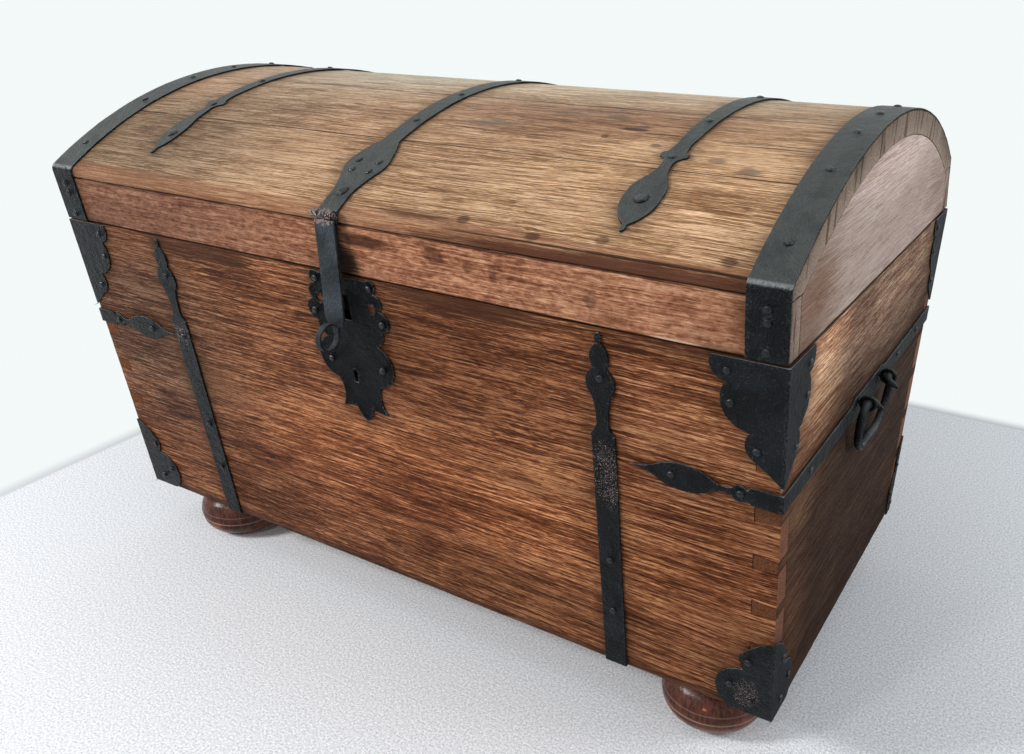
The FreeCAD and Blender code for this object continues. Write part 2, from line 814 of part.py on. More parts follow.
def lid_strap(x, tip, leaf_half, big_nail_along):
    """Hinge strap: a leaf on the dome's front, a pair of ears, then a bar over and down to the hinge."""
    half = lid_strap_width / 2
    back = lid_chord
    chain = [
        (tip, 0.8),
        ((tip + 4, 3.2), (tip + 9, 2.2)),
        ((tip + 28, leaf_half * 0.82), (tip + 50, leaf_half)),
        ((tip + 66, leaf_half * 0.95), (tip + 84, leaf_half * 0.6)),
        ((tip + 99, 8.2), (tip + 114, 7)),
        ((tip + 122, 9.5), (tip + 127, 16.5)),
        ((tip + 134, 17.5), (tip + 139, 12)),
        ((tip + 153, 9.8), (tip + 173, 10.5)),
        (back * 0.5, half),
        (back - iron, half),
    ]
    outline = mirrored_face(chain, lambda along, side: Vector(x + side, lid_corner_y + along, 0))
    zone = outline.extrude(Z * (corner_z + 2 * lid_rise))
    wide = hinge_width / 2
    over = lid_skin(x - wide, x + wide, corner_z, lid_bottom_z)
    top_strip = over.common(zone)
    back_edge = side_height / math.cos(lid_back_tilt)
    low = seam_gap / math.cos(lid_back_tilt)
    flare = [(back_edge + 4 * iron, half), (back_edge * 0.6, half), (low, wide)]
    flare_face = mirrored_face(flare, lambda rise, side: Vector(-x + side, rise, 0))
    leaf_zone = on_face(flare_face.extrude(Z * (8 * iron)).translated(Vector(0, 0, -4 * iron)), on_lid_back)
    behind = box(x - wide, x + wide, lid_back_corner_y - iron, hinge_y + iron, seam_z - iron, corner_z + lid_rise)
    down_back = over.common(leaf_zone).common(behind)
    leaf = fused([top_strip, down_back])
    for along in (tip + 127, tip + 230, lid_chord * 0.57, lid_chord * 0.8):
        lid_nails.add(on_dome(x, lid_corner_y + along), 0, 0, iron)
    lid_nails.add(on_dome(x, lid_corner_y + big_nail_along), 0, 0, iron, big_nail)
    for side in (-1, 1):
        lid_nails.add(on_lid_back, -x + side * wide * 0.45, rail_height * 0.42, iron)
    return with_knuckles(
        leaf, 1, x, hinge_width, hinge_knuckles, hinge_y, hinge_z, hinge_radius, hinge_pin_radius
    )


def hinge_leaf(x):
    """Lower leaf of a lid hinge, a pointed strap down the back."""
    wide = hinge_width / 2
    half = lid_strap_width / 2
    chain = [
        (0, wide),
        (24, wide),
        ((38, wide * 0.75), (50, half)),
        (hinge_leaf_length - 40, half),
        ((hinge_leaf_length - 22, half * 1.25), (hinge_leaf_length, 0.8)),
    ]
    leaf = plate(mirrored_face(chain, lambda drop, side: Vector(-x + side, -drop, 0)), iron, on_back)
    for drop in (70, 150):
        back_nails.add(on_back, -x, -drop, iron)
    for side in (-1, 1):
        back_nails.add(on_back, -x + side * wide * 0.5, -26, iron)
    return with_knuckles(
        leaf, 0, x, hinge_width, hinge_knuckles, hinge_y, hinge_z, hinge_radius, hinge_pin_radius
    )


def headed_pin(centre_x, width, y, z, radius, left_radius, left_length):
    """Hinge pin with an upset head at the right and a head of the given size at the left."""
    start = centre_x - width / 2 + knuckle_gap / 2
    length = width - knuckle_gap
    shaft = Part.makeCylinder(radius, length, Vector(start, y, z), X)
    left = Part.makeCone(left_radius * 0.7, left_radius, left_length, Vector(start - left_length, y, z), X)
    right_radius = radius + pin_head_margin
    right = Part.makeCone(right_radius, right_radius * 0.7, pin_head, Vector(start + length, y, z), X)
    return fused([shaft, left, right])


def middle_strap():
    """Strap over the lid that carries the hasp: a broad leaf near the front, plain at the back."""
    half = lid_strap_width / 2 + middle_strap_extra
    root = hasp_width / 2 - knuckle_gap
    chain = [
        (-2 * iron, root),
        (28, root),
        ((48, 22), (66, 30)),
        ((80, 32.5), (95, 29)),
        ((112, 23), (128, half)),
        (lid_chord + back_set_in + 2 * iron, half),
    ]
    outline = mirrored_face(chain, lambda along, side: Vector(lock_x + side, lid_corner_y + along, 0))
    zone = outline.extrude(Z * (corner_z + 2 * lid_rise))
    reach = 2 * root + hasp_width
    skin = lid_skin(lock_x - reach, lock_x + reach, corner_z - 2 * hasp_knuckle_radius, seam_z + rail_height / 4)
    leaf = skin.common(zone)
    lid_nails.add(on_dome(lock_x, lid_corner_y + 30), 0, 0, iron, big_nail)
    for along, away in ((66, 14), (84, 17)):
        for side in (-away, away):
            lid_nails.add(on_dome(lock_x + side, lid_corner_y + along), 0, 0, iron)
    for share in (0.242, 0.376, 0.576, 0.785, 0.942):
        lid_nails.add(on_dome(lock_x, lid_corner_y + share * lid_chord), 0, 0, iron)
    lid_nails.add(on_lid_back, -lock_x, rail_height * 0.5, iron)
    return with_knuckles(
        leaf, 0, lock_x, hasp_width, hasp_knuckles, hasp_axis_y, hasp_axis_z, hasp_knuckle_radius, hasp_pin_radius
    )


def end_band(side):
    """Band over the lid's end, from just above the seam at the front to the same height at the back."""
    x0 = half_width - band_width if side > 0 else -half_width
    middle = side * (half_width - band_width / 2)
    foot_z = seam_z + band_foot
    for share in (0.063, 0.217, 0.348, 0.466, 0.584, 0.715, 0.846, 0.963):
        lid_nails.add(on_dome(middle, lid_corner_y + share * lid_chord), 0, 0, iron)
    for share in (0.17, 0.65, 0.86):
        lid_nails.add(on_lid_front, middle, share * rail_height, iron)
    for share in (0.2, 0.8):
        lid_nails.add(on_lid_back, -middle, share * rail_height, iron)
    return lid_skin(x0, x0 + band_width, foot_z, foot_z)


# ---- Hasp ----


def hasp_bar():
    """Flat bar hanging from the hasp hinge, drawn out below into a strip curled forward."""
    half = hasp_width / 2
    curl_half = hasp_curl_width / 2
    back = hasp_thickness / 2

    def to_point(drop, side):
        return Vector(lock_x + side, hasp_axis_y + back, hasp_axis_z - drop)

    neck = 8.0
    chain = [
        (0, half),
        (hasp_length - neck - 9, half),
        ((hasp_length - neck, half * 0.86), (hasp_length, curl_half)),
        (hasp_length + neck, curl_half),
    ]
    bar = mirrored_face(chain, to_point).extrude(-Y * hasp_thickness)
    mean = curl_mean_radius
    centre_y = hasp_axis_y + back - hasp_curl_thickness / 2 - mean
    centre_z = hasp_axis_z - hasp_length - neck
    start = Vector(lock_x - curl_half, centre_y + mean - hasp_curl_thickness / 2, centre_z)
    across = X * hasp_curl_width
    deep = Y * hasp_curl_thickness
    strip_end = Part.Face(Part.makePolygon([start, start + across, start + across + deep, start + deep, start]))
    curl = strip_end.revolve(Vector(lock_x, centre_y, centre_z), X, -hasp_curl_open)
    hanger = fused([bar, curl])
    return with_knuckles(
        hanger, 1, lock_x, hasp_width, hasp_knuckles, hasp_axis_y, hasp_axis_z, hasp_knuckle_radius, hasp_pin_radius
    )


def hasp_staple():
    """Staple riveted to the back of the hasp, which the lock's bolt goes through."""
    near_y = hasp_axis_y + hasp_thickness / 2
    low = seam_z - staple_drop - staple_height / 2
    x0 = lock_x - staple_width / 2
    x1 = lock_x + staple_width / 2
    loop = box(x0, x1, near_y, near_y + staple_depth, low, low + staple_height)
    inner_depth = staple_depth - staple_stock
    eye = box(
        x0, x1, near_y, near_y + inner_depth, low + staple_stock, low + staple_height - staple_stock
    )
    corners = [edge for edge in loop.Edges if abs(edge.BoundBox.YMin - near_y - staple_depth) < 0.01]
    across = [edge for edge in corners if edge.BoundBox.XLength > staple_width / 2]
    return loop.makeFillet(staple_stock * 0.7, across).cut(eye)


# ---- Lock ----


def lock_plate():
    """Scalloped plate on the front, with the staple's slot, a keyhole and two pierced eyes."""
    chain = [
        (3, 0),
        (3, 40),
        ((7, 56), (20, 51)),
        ((31, 62), (44, 57)),
        ((59, 70), (76, 56)),
        ((90, 54), (98, 44)),
        ((129, 65), (162, 38)),
        ((182, 33), (208, 41)),
        ((206, 27), (203, 15)),
        ((217, 9), (plate_length, 0)),
    ]
    face = mirrored_face(chain, lambda drop, side: Vector(lock_x + side, -drop, 0))
    blank = face.extrude(Z * sheet)
    low, high = -sheet, 2 * sheet
    cuts = [
        box(lock_x - slot_width / 2, lock_x + slot_width / 2, slot_low(), slot_low() + slot_height, low, high)
    ]
    hole_x = lock_x + keyhole_x
    cuts.append(Part.makeCylinder(keyhole_radius, 3 * sheet, Vector(hole_x, -keyhole_drop, low), Z))
    slot = keyhole_slot / 2
    cuts.append(box(hole_x - slot, hole_x + slot, -keyhole_drop - keyhole_slot_length, -keyhole_drop, low, high))
    for side in (-1, 1):
        centre = Vector(lock_x + side * plate_eye_x, -plate_eye_drop, low)
        cuts.append(Part.makeCylinder(plate_eye_radius, 3 * sheet, centre, Z))
    pierced = blank
    for cut in cuts:
        pierced = pierced.cut(cut)
    for side in (-1, 1):
        for drop, away in ((13, 46), (62, 58), (134, 45)):
            front_nails.add(on_front, lock_x + side * away, -drop, sheet)
    return on_face(pierced, on_front)


def slot_low():
    """Lower end of the staple's slot, in the front face's drawn y."""
    return bolt_middle() - slot_height / 2


def mortise():
    """Pocket in the front board for the lock's case."""
    half = case_half_width + fit
    hole = box(lock_x - half, lock_x + half, -case_bottom - fit, -case_top + fit, -case_depth - fit, board)
    return on_face(hole, on_front)


def lock_case():
    """Iron box behind the lock plate, open towards it."""
    x0, x1 = lock_x - case_half_width, lock_x + case_half_width
    outer = box(x0, x1, -case_bottom, -case_top, -case_depth, 0)
    thin = case_wall
    inner = box(x0 + thin, x1 - thin, -case_bottom + thin, -case_top - thin, -case_depth + thin, thin)
    return on_face(outer.cut(inner), on_front)


def bolt_middle():
    """Middle of the bolt's head, in the front face's drawn y."""
    return -staple_drop / math.cos(front_tilt) + bolt_rise


def lock_bolt():
    """Bolt drawn back clear of the staple: a head, a tail down beside the slot and a foot for the key."""
    near = -bolt_gap - bolt_thickness
    far = -bolt_gap
    right = case_half_width - case_wall - fit
    head_low = bolt_middle() - bolt_height / 2
    head = box(lock_x + bolt_tip, lock_x + right, head_low, head_low + bolt_height, near, far)
    foot_low = -bolt_foot_drop - bolt_foot_height / 2
    tail = box(lock_x + right - bolt_tail_width, lock_x + right, foot_low, head_low + bolt_height, near, far)
    foot = box(
        lock_x + bolt_foot_left, lock_x + right, foot_low, foot_low + bolt_foot_height, near, far
    )
    talon_x = lock_x + keyhole_x + bolt_foot_reach
    talon_top = foot_low + talon_depth
    talon = box(talon_x, talon_x + talon_width, foot_low - talon_depth, talon_top, near - bolt_gap, far + bolt_gap)
    return on_face(fused([head, tail, foot]).cut(talon), on_front)


def bolt_guide(centre_x, low, height):
    """Loop riveted to the back of the lock plate, which the bolt slides through."""
    half = guide_width / 2
    depth = bolt_gap + bolt_thickness + fit + guide_wall
    block = box(
        lock_x + centre_x - half,
        lock_x + centre_x + half,
        low - fit - guide_wall,
        low + height + fit + guide_wall,
        -depth,
        0,
    )
    way = box(
        lock_x + centre_x - guide_width,
        lock_x + centre_x + guide_width,
        low - fit,
        low + height + fit,
        -bolt_gap - bolt_thickness - fit,
        -bolt_gap + fit,
    )
    return on_face(block.cut(way), on_front)


def bolt_guides():
    foot_low = -bolt_foot_drop - bolt_foot_height / 2
    head_low = bolt_middle() - bolt_height / 2
    lower = bolt_guide(lower_guide_x, foot_low, bolt_foot_height)
    upper = bolt_guide(upper_guide_x, head_low, bolt_height)
    return [lower, upper]


def bolt_spring():
    """Leaf spring from the case's side that bears on the bolt's head and keeps it where it is put."""
    right = lock_x + case_half_width - case_wall
    head_top = bolt_middle() + bolt_height / 2
    roof = -case_top - case_wall
    tip_x = lock_x + bolt_tip + spring_foot
    near = -bolt_gap - bolt_thickness
    low = head_top + fit
    points = [
        (right, roof),
        (right - spring_foot, roof),
        (tip_x, low + spring_thickness),
        (tip_x, low),
        (right - spring_foot + spring_thickness, roof - spring_thickness),
        (right, roof - spring_thickness),
        (right, roof),
    ]
    face = closed_face(points, lambda x, y: Vector(x, y, near))
    return on_face(face.extrude(Z * bolt_thickness), on_front)


def key_pin():
    """Fixed pin that the key turns on."""
    start = Vector(lock_x + keyhole_x, -keyhole_drop, -case_depth + case_wall)
    length = case_depth - case_wall - key_pin_setback
    return on_face(Part.makeCylinder(key_pin_radius, length, start, Z), on_front)


# ---- The pieces ----

nodes = {}

pins = dovetail_pins()
front_wall = wall(front_y, board, -half_width, half_width)
back_wall = wall(back_y, -board, -half_width, half_width)
both_pins = Part.makeCompound(pins.Solids + mirrored_x(pins).Solids)
side_board = right_side_board(pins, front_wall, back_wall)

body_straps = [body_strap(x) for x in body_strap_x]
hinge_leaves = [hinge_leaf(x) for x in lid_strap_x]
strap = handle_strap()
irons = {
    "upper_front": corner_iron(
        upper_iron_chain, front_y, on_front, front_tilt, 1, front_nails, upper_iron_spots
    ),
    "lower_front": corner_iron(
        lower_iron_chain(front_tilt), front_y, on_front, front_tilt, 1, front_nails, lower_iron_spots(front_tilt)
    ),
    "upper_back": corner_iron(
        upper_iron_chain, back_y, on_back, back_tilt, -1, back_nails, upper_iron_spots
    ),
    "lower_back": corner_iron(
        lower_iron_chain(back_tilt),
        back_y,
        on_back,
        back_tilt,
        -1,
        back_nails,
        lower_iron_spots(back_tilt),
        lower_back_end_share,
    ),
}
plate_shape = lock_plate()

eye_holes = Part.makeCompound([eye_hole(offset) for offset in (-eye_y, eye_y)])
side_board = drilled(side_board, front_nails, back_nails, end_nails).cut(eye_holes)
mortises = []
for x in foot_x:
    for y in (foot_front_y, foot_back_y):
        mortises.append(foot_mortise(x, y))

nodes["front_board"] = drilled(front_wall.cut(both_pins).cut(mortise()), front_nails, end_nails)
nodes["back_board"] = drilled(back_wall.cut(both_pins), back_nails, end_nails)
nodes["right_side_board"] = side_board
nodes["left_side_board"] = mirrored_x(side_board)
for index in range(bottom_board_count):
    piece = bottom_piece(index).cut(Part.makeCompound(mortises))
    nodes[f"bottom_board_{index + 1}"] = drilled(piece, front_nails, back_nails, end_nails)
for end, x in zip(("left", "right"), foot_x):
    nodes[f"foot_front_{end}"] = bun_foot(x, foot_front_y)
    nodes[f"foot_back_{end}"] = bun_foot(x, foot_back_y)
for end, shape in zip(("left", "right"), body_straps):
    nodes[f"body_strap_{end}"] = drilled(shape, front_nails, back_nails)
for end, shape in zip(("left", "right"), hinge_leaves):
    nodes[f"hinge_leaf_{end}"] = drilled(shape, back_nails)
for name, shape in irons.items():
    iron_piece = drilled(shape, front_nails, back_nails, end_nails)
    nodes[f"corner_iron_{name}_right"] = iron_piece
    nodes[f"corner_iron_{name}_left"] = mirrored_x(iron_piece)
strap = drilled(strap, front_nails, back_nails, end_nails).cut(eye_holes)
nodes["handle_strap_right"] = strap
nodes["handle_strap_left"] = mirrored_x(strap)
eyes = Part.makeCompound([handle_eye(offset) for offset in (-eye_y, eye_y)])
nodes["handle_eyes_right"] = eyes
nodes["handle_eyes_left"] = mirrored_x(eyes)
nodes["handle_right"] = bail()
nodes["handle_left"] = mirrored_x(nodes["handle_right"])

nodes["lock_plate"] = drilled(plate_shape, front_nails)
nodes["lock_case"] = lock_case()
nodes["lock_bolt"] = lock_bolt()
nodes["lock_bolt_guides"] = Part.makeCompound(bolt_guides())
nodes["lock_bolt_spring"] = bolt_spring()
nodes["lock_key_pin"] = key_pin()

lid_straps = []
for values in zip(lid_strap_x, lid_strap_tips, lid_strap_leaf_half_widths, lid_strap_big_nails):
    lid_straps.append(lid_strap(*values))
strap_middle = middle_strap()
bands = [end_band(side) for side in (-1, 1)]
front_rail, back_rail, staves = lid_boards()
gable_piece = lid_envelope(-stave, half_width - gable, half_width)

nodes["lid_front_rail"] = drilled(front_rail, lid_nails)
nodes["lid_back_rail"] = drilled(back_rail, lid_nails)
for index, shape in enumerate(staves):
    nodes[f"lid_stave_{index + 1}"] = drilled(shape, lid_nails)
nodes["lid_gable_right"] = drilled(gable_piece, lid_nails)
nodes["lid_gable_left"] = drilled(mirrored_x(gable_piece), lid_nails)
for end, shape in zip(("left", "right"), bands):
    nodes[f"lid_end_band_{end}"] = drilled(shape, lid_nails)
for end, shape in zip(("left", "right"), lid_straps):
    nodes[f"lid_strap_{end}"] = drilled(shape, lid_nails)
nodes["lid_strap_middle"] = drilled(strap_middle, lid_nails)
for end, x in zip(("left", "right"), lid_strap_x):
    nodes[f"hinge_pin_{end}"] = headed_pin(
        x, hinge_width, hinge_y, hinge_z, hinge_pin_radius, hinge_pin_radius + pin_head_margin, pin_head
    )
hasp_axis = Vector(lock_x, hasp_axis_y, hasp_axis_z)
nodes["hasp_bar"] = hasp_bar().rotate(hasp_axis, X, hasp_lean)
nodes["hasp_staple"] = hasp_staple().rotate(hasp_axis, X, hasp_lean)
nodes["hasp_pin"] = headed_pin(
    lock_x, hasp_width, hasp_axis_y, hasp_axis_z, hasp_pin_radius, pin_knob_radius, pin_knob_length
)
nodes["front_nails"] = Part.makeCompound(front_nails.solids)
nodes["back_nails"] = Part.makeCompound(back_nails.solids)
nodes["end_nails"] = Part.makeCompound(end_nails.solids)
nodes["lid_nails"] = Part.makeCompound(lid_nails.solids)

for name, shape in nodes.items():
    shape.exportStep(f"parts/{name}.step")
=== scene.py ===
# %% [markdown]
# # A dome-lidded oak chest, bound in black iron
#
# The chest's joinery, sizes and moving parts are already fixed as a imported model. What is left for
# Blender is the surface of things: how oak wears, how a smith's hammer leaves iron, and how soft
# light falls on both.

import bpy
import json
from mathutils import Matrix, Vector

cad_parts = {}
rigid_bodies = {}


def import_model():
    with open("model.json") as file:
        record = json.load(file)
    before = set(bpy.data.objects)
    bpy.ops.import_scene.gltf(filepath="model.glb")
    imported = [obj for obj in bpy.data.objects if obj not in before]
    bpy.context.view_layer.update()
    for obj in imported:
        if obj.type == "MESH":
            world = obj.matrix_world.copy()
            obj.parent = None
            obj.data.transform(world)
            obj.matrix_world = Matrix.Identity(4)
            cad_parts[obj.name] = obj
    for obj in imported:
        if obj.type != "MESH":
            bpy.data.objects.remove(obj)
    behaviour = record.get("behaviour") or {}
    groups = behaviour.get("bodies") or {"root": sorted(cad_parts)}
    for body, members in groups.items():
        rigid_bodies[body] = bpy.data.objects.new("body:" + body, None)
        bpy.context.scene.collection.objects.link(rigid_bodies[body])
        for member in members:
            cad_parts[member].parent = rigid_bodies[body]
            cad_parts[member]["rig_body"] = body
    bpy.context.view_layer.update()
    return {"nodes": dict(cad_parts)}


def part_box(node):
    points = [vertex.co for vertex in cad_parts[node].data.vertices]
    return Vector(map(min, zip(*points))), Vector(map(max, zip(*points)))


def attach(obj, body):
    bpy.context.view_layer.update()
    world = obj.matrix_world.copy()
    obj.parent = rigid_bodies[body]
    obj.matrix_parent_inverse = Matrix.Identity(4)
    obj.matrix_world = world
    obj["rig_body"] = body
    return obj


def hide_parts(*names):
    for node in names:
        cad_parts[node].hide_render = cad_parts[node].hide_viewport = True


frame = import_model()

# %% What the rest is written with
import json
import math

import bmesh
import bpy
import numpy as np
from mathutils import Vector

scene = bpy.context.scene
nodes = frame["nodes"]

# %% [markdown]
# ## Camera
#
# A standing person sees the chest from its right front corner and looks down on the lid. A camera
# is an object with a place, a turn and a lens. The lens is given in millimetres for a sensor 36 mm
# wide, and a slight shift of the frame puts the chest where it should be without turning the camera,
# which would change the perspective.

# %% Camera
camera = bpy.data.objects.new("camera", bpy.data.cameras.new("camera"))
scene.collection.objects.link(camera)
camera.location = (0.829788, -1.254660, 0.960534)
camera.rotation_euler = [math.radians(a) for a in (68.0961, 0.2613, 32.4966)]
camera.data.sensor_width = 36
camera.data.lens = 34.378
camera.data.shift_x, camera.data.shift_y = -0.00914, -0.02322
scene.camera = camera
print("camera at", [round(v, 3) for v in camera.location])

# %% [markdown]
# ## Writing materials as sums
#
# A material in Blender is a graph of nodes. Placing dozens of Math nodes by hand hides what is
# meant, so one small class stands for a node's output and turns `1 - mask` or `grain * 0.5` into
# the Math nodes that do it. A second class holds the material and adds any other node in one call.


# %% A number that flows through a material
class Flow:
    """A node's output. Arithmetic on it adds Math nodes to the same material."""

    def __init__(self, finish, socket):
        self.finish, self.socket = finish, socket

    def _math(self, operation, *values):
        return self.finish.node("ShaderNodeMath", {"operation": operation}, values)

    def __add__(self, other):
        return self._math("ADD", self, other)

    def __sub__(self, other):
        return self._math("SUBTRACT", self, other)

    def __rsub__(self, other):
        return self._math("SUBTRACT", other, self)

    def __mul__(self, other):
        return self._math("MULTIPLY", self, other)

    def __abs__(self):
        return self._math("ABSOLUTE", self)

    __radd__ = __add__
    __rmul__ = __mul__

    def most(self, other):
        return self._math("MAXIMUM", self, other)

    def least(self, other):
        return self._math("MINIMUM", self, other)


# %% A finish: one material and the nodes in it
class Finish:
    """The node tree of a material or of the world. Every node is added by `node`."""

    def __init__(self, owner):
        owner.use_nodes = True
        self.owner, self.tree = owner, owner.node_tree
        self.tree.nodes.clear()

    def node(self, kind, settings=(), inputs=(), output=0):
        """Adds one node: first its settings, then a value or a link for each input, by place or name."""
        made = self.tree.nodes.new(kind)
        for key, value in dict(settings).items():
            if key == "stops":
                self._set_stops(made.color_ramp, value)
            else:
                setattr(made, key, value)
        for key, value in inputs.items() if isinstance(inputs, dict) else enumerate(inputs):
            socket = self._socket(made.inputs, key)
            if isinstance(value, Flow):
                self.tree.links.new(value.socket, socket)
            else:
                socket.default_value = value
        return Flow(self, self._socket(made.outputs, output)) if made.outputs else None

    @staticmethod
    def _socket(sockets, key):
        if isinstance(key, int):
            return [s for s in sockets if s.enabled][key]
        return next(s for s in sockets if key in (s.identifier, s.name) and s.enabled)

    @staticmethod
    def _set_stops(ramp, stops):
        while len(ramp.elements) < len(stops):
            ramp.elements.new(0.5)
        for element, (place, colour) in zip(ramp.elements, stops):
            element.position = place
            element.color = (*colour, 1)

    def noise(self, vector, lumps, detail=2.0, roughness=0.5, distortion=0.0, output="Fac"):
        """Smooth random cloud with so many lumps per metre on each axis."""
        inputs = {"Vector": self.scaled(vector, lumps), "Scale": 1.0, "Detail": detail,
                  "Roughness": roughness, "Distortion": distortion}
        return self.node("ShaderNodeTexNoise", {}, inputs, output)

    def place(self):
        """Where a point lies on the chest, in metres."""
        return self.node("ShaderNodeTexCoord", output="Object")

    def facing(self, axis):
        """How far the surface faces along the axis: 1 straight along it and -1 straight against it."""
        return self.part(self.node("ShaderNodeTexCoord", output="Normal"), axis)

    def part(self, vector, axis):
        return self.node("ShaderNodeSeparateXYZ", {}, [vector], axis)

    def stored(self, name):
        """The number that a mesh carries at each vertex under this name."""
        return self.node("ShaderNodeAttribute", {"attribute_name": name}, output="Fac")

    def scaled(self, vector, factors):
        return self.node("ShaderNodeVectorMath", {"operation": "MULTIPLY"}, [vector, factors])

    def moved(self, vector, by):
        return self.node("ShaderNodeVectorMath", {"operation": "ADD"}, [vector, by])

    def distance(self, vector, centre, reach):
        """Distance from the centre, counted on each axis in units of the reach along it."""
        off = self.scaled(self.moved(vector, [-c for c in centre]), [1 / r for r in reach])
        return self.node("ShaderNodeVectorMath", {"operation": "LENGTH"}, [off], "Value")

    def rise(self, value, low, high):
        """0 below low, 1 above high and a smooth ramp between; high may be the smaller one."""
        return self.node("ShaderNodeMapRange", {"interpolation_type": "SMOOTHSTEP"},
                         {"Value": value, "From Min": low, "From Max": high})

    def blend(self, factor, first, second, how="MIX"):
        """Colour that goes from the first to the second as factor goes from 0 to 1."""
        pick = [c if isinstance(c, Flow) else (*c, 1) for c in (first, second)]
        inputs = {"Factor_Float": factor, "A_Color": pick[0], "B_Color": pick[1]}
        return self.node("ShaderNodeMix", {"data_type": "RGBA", "blend_type": how}, inputs, "Result_Color")

    def sight(self):
        """1 for the rays that show a place to the camera, straight or through gloss and glass, else 0."""
        camera_ray, glossy, through = (self.node("ShaderNodeLightPath", output=f"Is {ray} Ray")
                                       for ray in ("Camera", "Glossy", "Transmission"))
        return camera_ray.most(glossy).most(through)

    def surface(self, bump=None, bump_depth=0.001, **inputs):
        """Closes the material with one Principled shader, and a Bump node where a height is given."""
        if bump is not None:
            inputs["Normal"] = self.node("ShaderNodeBump", {}, {"Height": bump, "Distance": bump_depth})
        named = {key.replace("_", " "): value for key, value in inputs.items()}
        shader = self.node("ShaderNodeBsdfPrincipled", {}, named)
        self.node("ShaderNodeOutputMaterial", {}, {"Surface": shader})
        return self.owner


def new_finish(name):
    return Finish(bpy.data.materials.new(name))


print("a finish can be written")

# %% [markdown]
# ## Room and light
#
# The chest stands on a pale floor. The world is a plain soft white for the lighting, and a nearly
# white backdrop for whatever is seen behind the chest, whether by the camera or mirrored in iron. The
# Light Path node tells these rays apart. A lamp at the left front shapes the fronts and throws the
# hasp's shadow, a broad one overhead lights the dome, one at the right gives the end its sheen, and a
# small one in front puts white glints on nails and bent edges. The Standard view transform shows each
# colour as it is written.

# %% World
scene.view_settings.view_transform = "Standard"
backdrop_white = (0.90, 0.95, 0.94, 1)
world_finish = Finish(bpy.data.worlds.new("soft_room"))
scene.world = world_finish.owner
seen = world_finish.sight()
soft_light, room_seen = (
    world_finish.node("ShaderNodeBackground", {}, {"Color": colour, "Strength": strength})
    for colour, strength in (((0.95, 0.98, 1.0, 1), 0.46), (backdrop_white, 1.0))
)
light_and_view = world_finish.node("ShaderNodeMixShader", {}, [seen, soft_light, room_seen])
world_finish.node("ShaderNodeOutputWorld", {}, {"Surface": light_and_view})
print("world", scene.world.name)


# %% Lamps
def add_lamp(name, place, aim, size, watts, colour):
    """A square area lamp at a place, turned to face the point it lights."""
    lamp = bpy.data.objects.new(name, bpy.data.lights.new(name, "AREA"))
    lamp.data.size, lamp.data.energy, lamp.data.color = size, watts, colour
    lamp.location = place
    lamp.rotation_euler = (Vector(aim) - Vector(place)).to_track_quat("-Z", "Y").to_euler()
    scene.collection.objects.link(lamp)
    print(name, place, watts, "W")


add_lamp("window_left_front", (-2.2, -2.6, 2.1), (0, 0, 0.35), 0.7, 122, (1.0, 0.985, 0.96))
add_lamp("ceiling", (-0.2, -0.3, 2.9), (0, 0, 0.6), 2.0, 10, (1.0, 1.0, 1.0))
add_lamp("right_wall", (3.0, 0.8, 1.5), (0.5, 0, 0.55), 1.4, 50, (0.98, 1.0, 1.0))
add_lamp("glint", (-0.32, -2.84, 2.1), (0.2, -0.3, 0.5), 0.3, 13, (1.0, 0.99, 0.97))

# %% [markdown]
# The floor is a wide flat sheet. Its colour is a light cool grey where the chest stands, and past
# the lines where a room's walls would begin it fades to the backdrop's white, so that there is no
# hard horizon.

# %% Floor
floor_reach = 7.0
back_wall, left_wall = (0.94, 1.0), (-0.90, -0.96)  # where the fade to the backdrop begins and ends
floor_mesh = bpy.data.meshes.new("floor")
across, deep = np.meshgrid([-floor_reach, floor_reach], [-floor_reach, floor_reach])
floor_corners = np.stack([across.ravel(), deep.ravel(), np.zeros(4)], 1)
floor_mesh.from_pydata(floor_corners.tolist(), [], [(0, 1, 3, 2)])
floor = bpy.data.objects.new("floor", floor_mesh)
scene.collection.objects.link(floor)
floor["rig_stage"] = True

f = new_finish("pale_floor")
here = f.place()
wall = f.rise(f.part(here, "Y"), *back_wall).most(f.rise(f.part(here, "X"), *left_wall))
pile = f.noise(here, (300, 300, 300), 3, 0.8) * f.rise(wall, 0.5, 0.0)
carpet = f.blend(f.rise(pile, 0.32, 0.68), (0.50, 0.525, 0.57), (0.94, 0.965, 1.0))
pale = f.node("ShaderNodeBsdfDiffuse", {}, {"Color": carpet})
white = f.node("ShaderNodeEmission", {}, {"Color": backdrop_white, "Strength": 1.0})
floor_or_wall = f.node("ShaderNodeMixShader", {}, [wall * f.sight(), pale, white])
f.node("ShaderNodeOutputMaterial", {}, {"Surface": floor_or_wall})
floor_mesh.materials.append(f.owner)
print("floor", [round(v, 2) for v in floor.dimensions])

# %% [markdown]
# ## Noise for shapes
#
# Worn and hammered surfaces are smooth shapes with small random errors. The same smooth random
# numbers are needed at every vertex of many pieces, so they are worked out on whole arrays.


# %% Smooth random numbers at points
primes = (73856093, 19349663, 83492791)  # large, so that neighbouring cubes get unlike numbers
seed_prime = 961748927


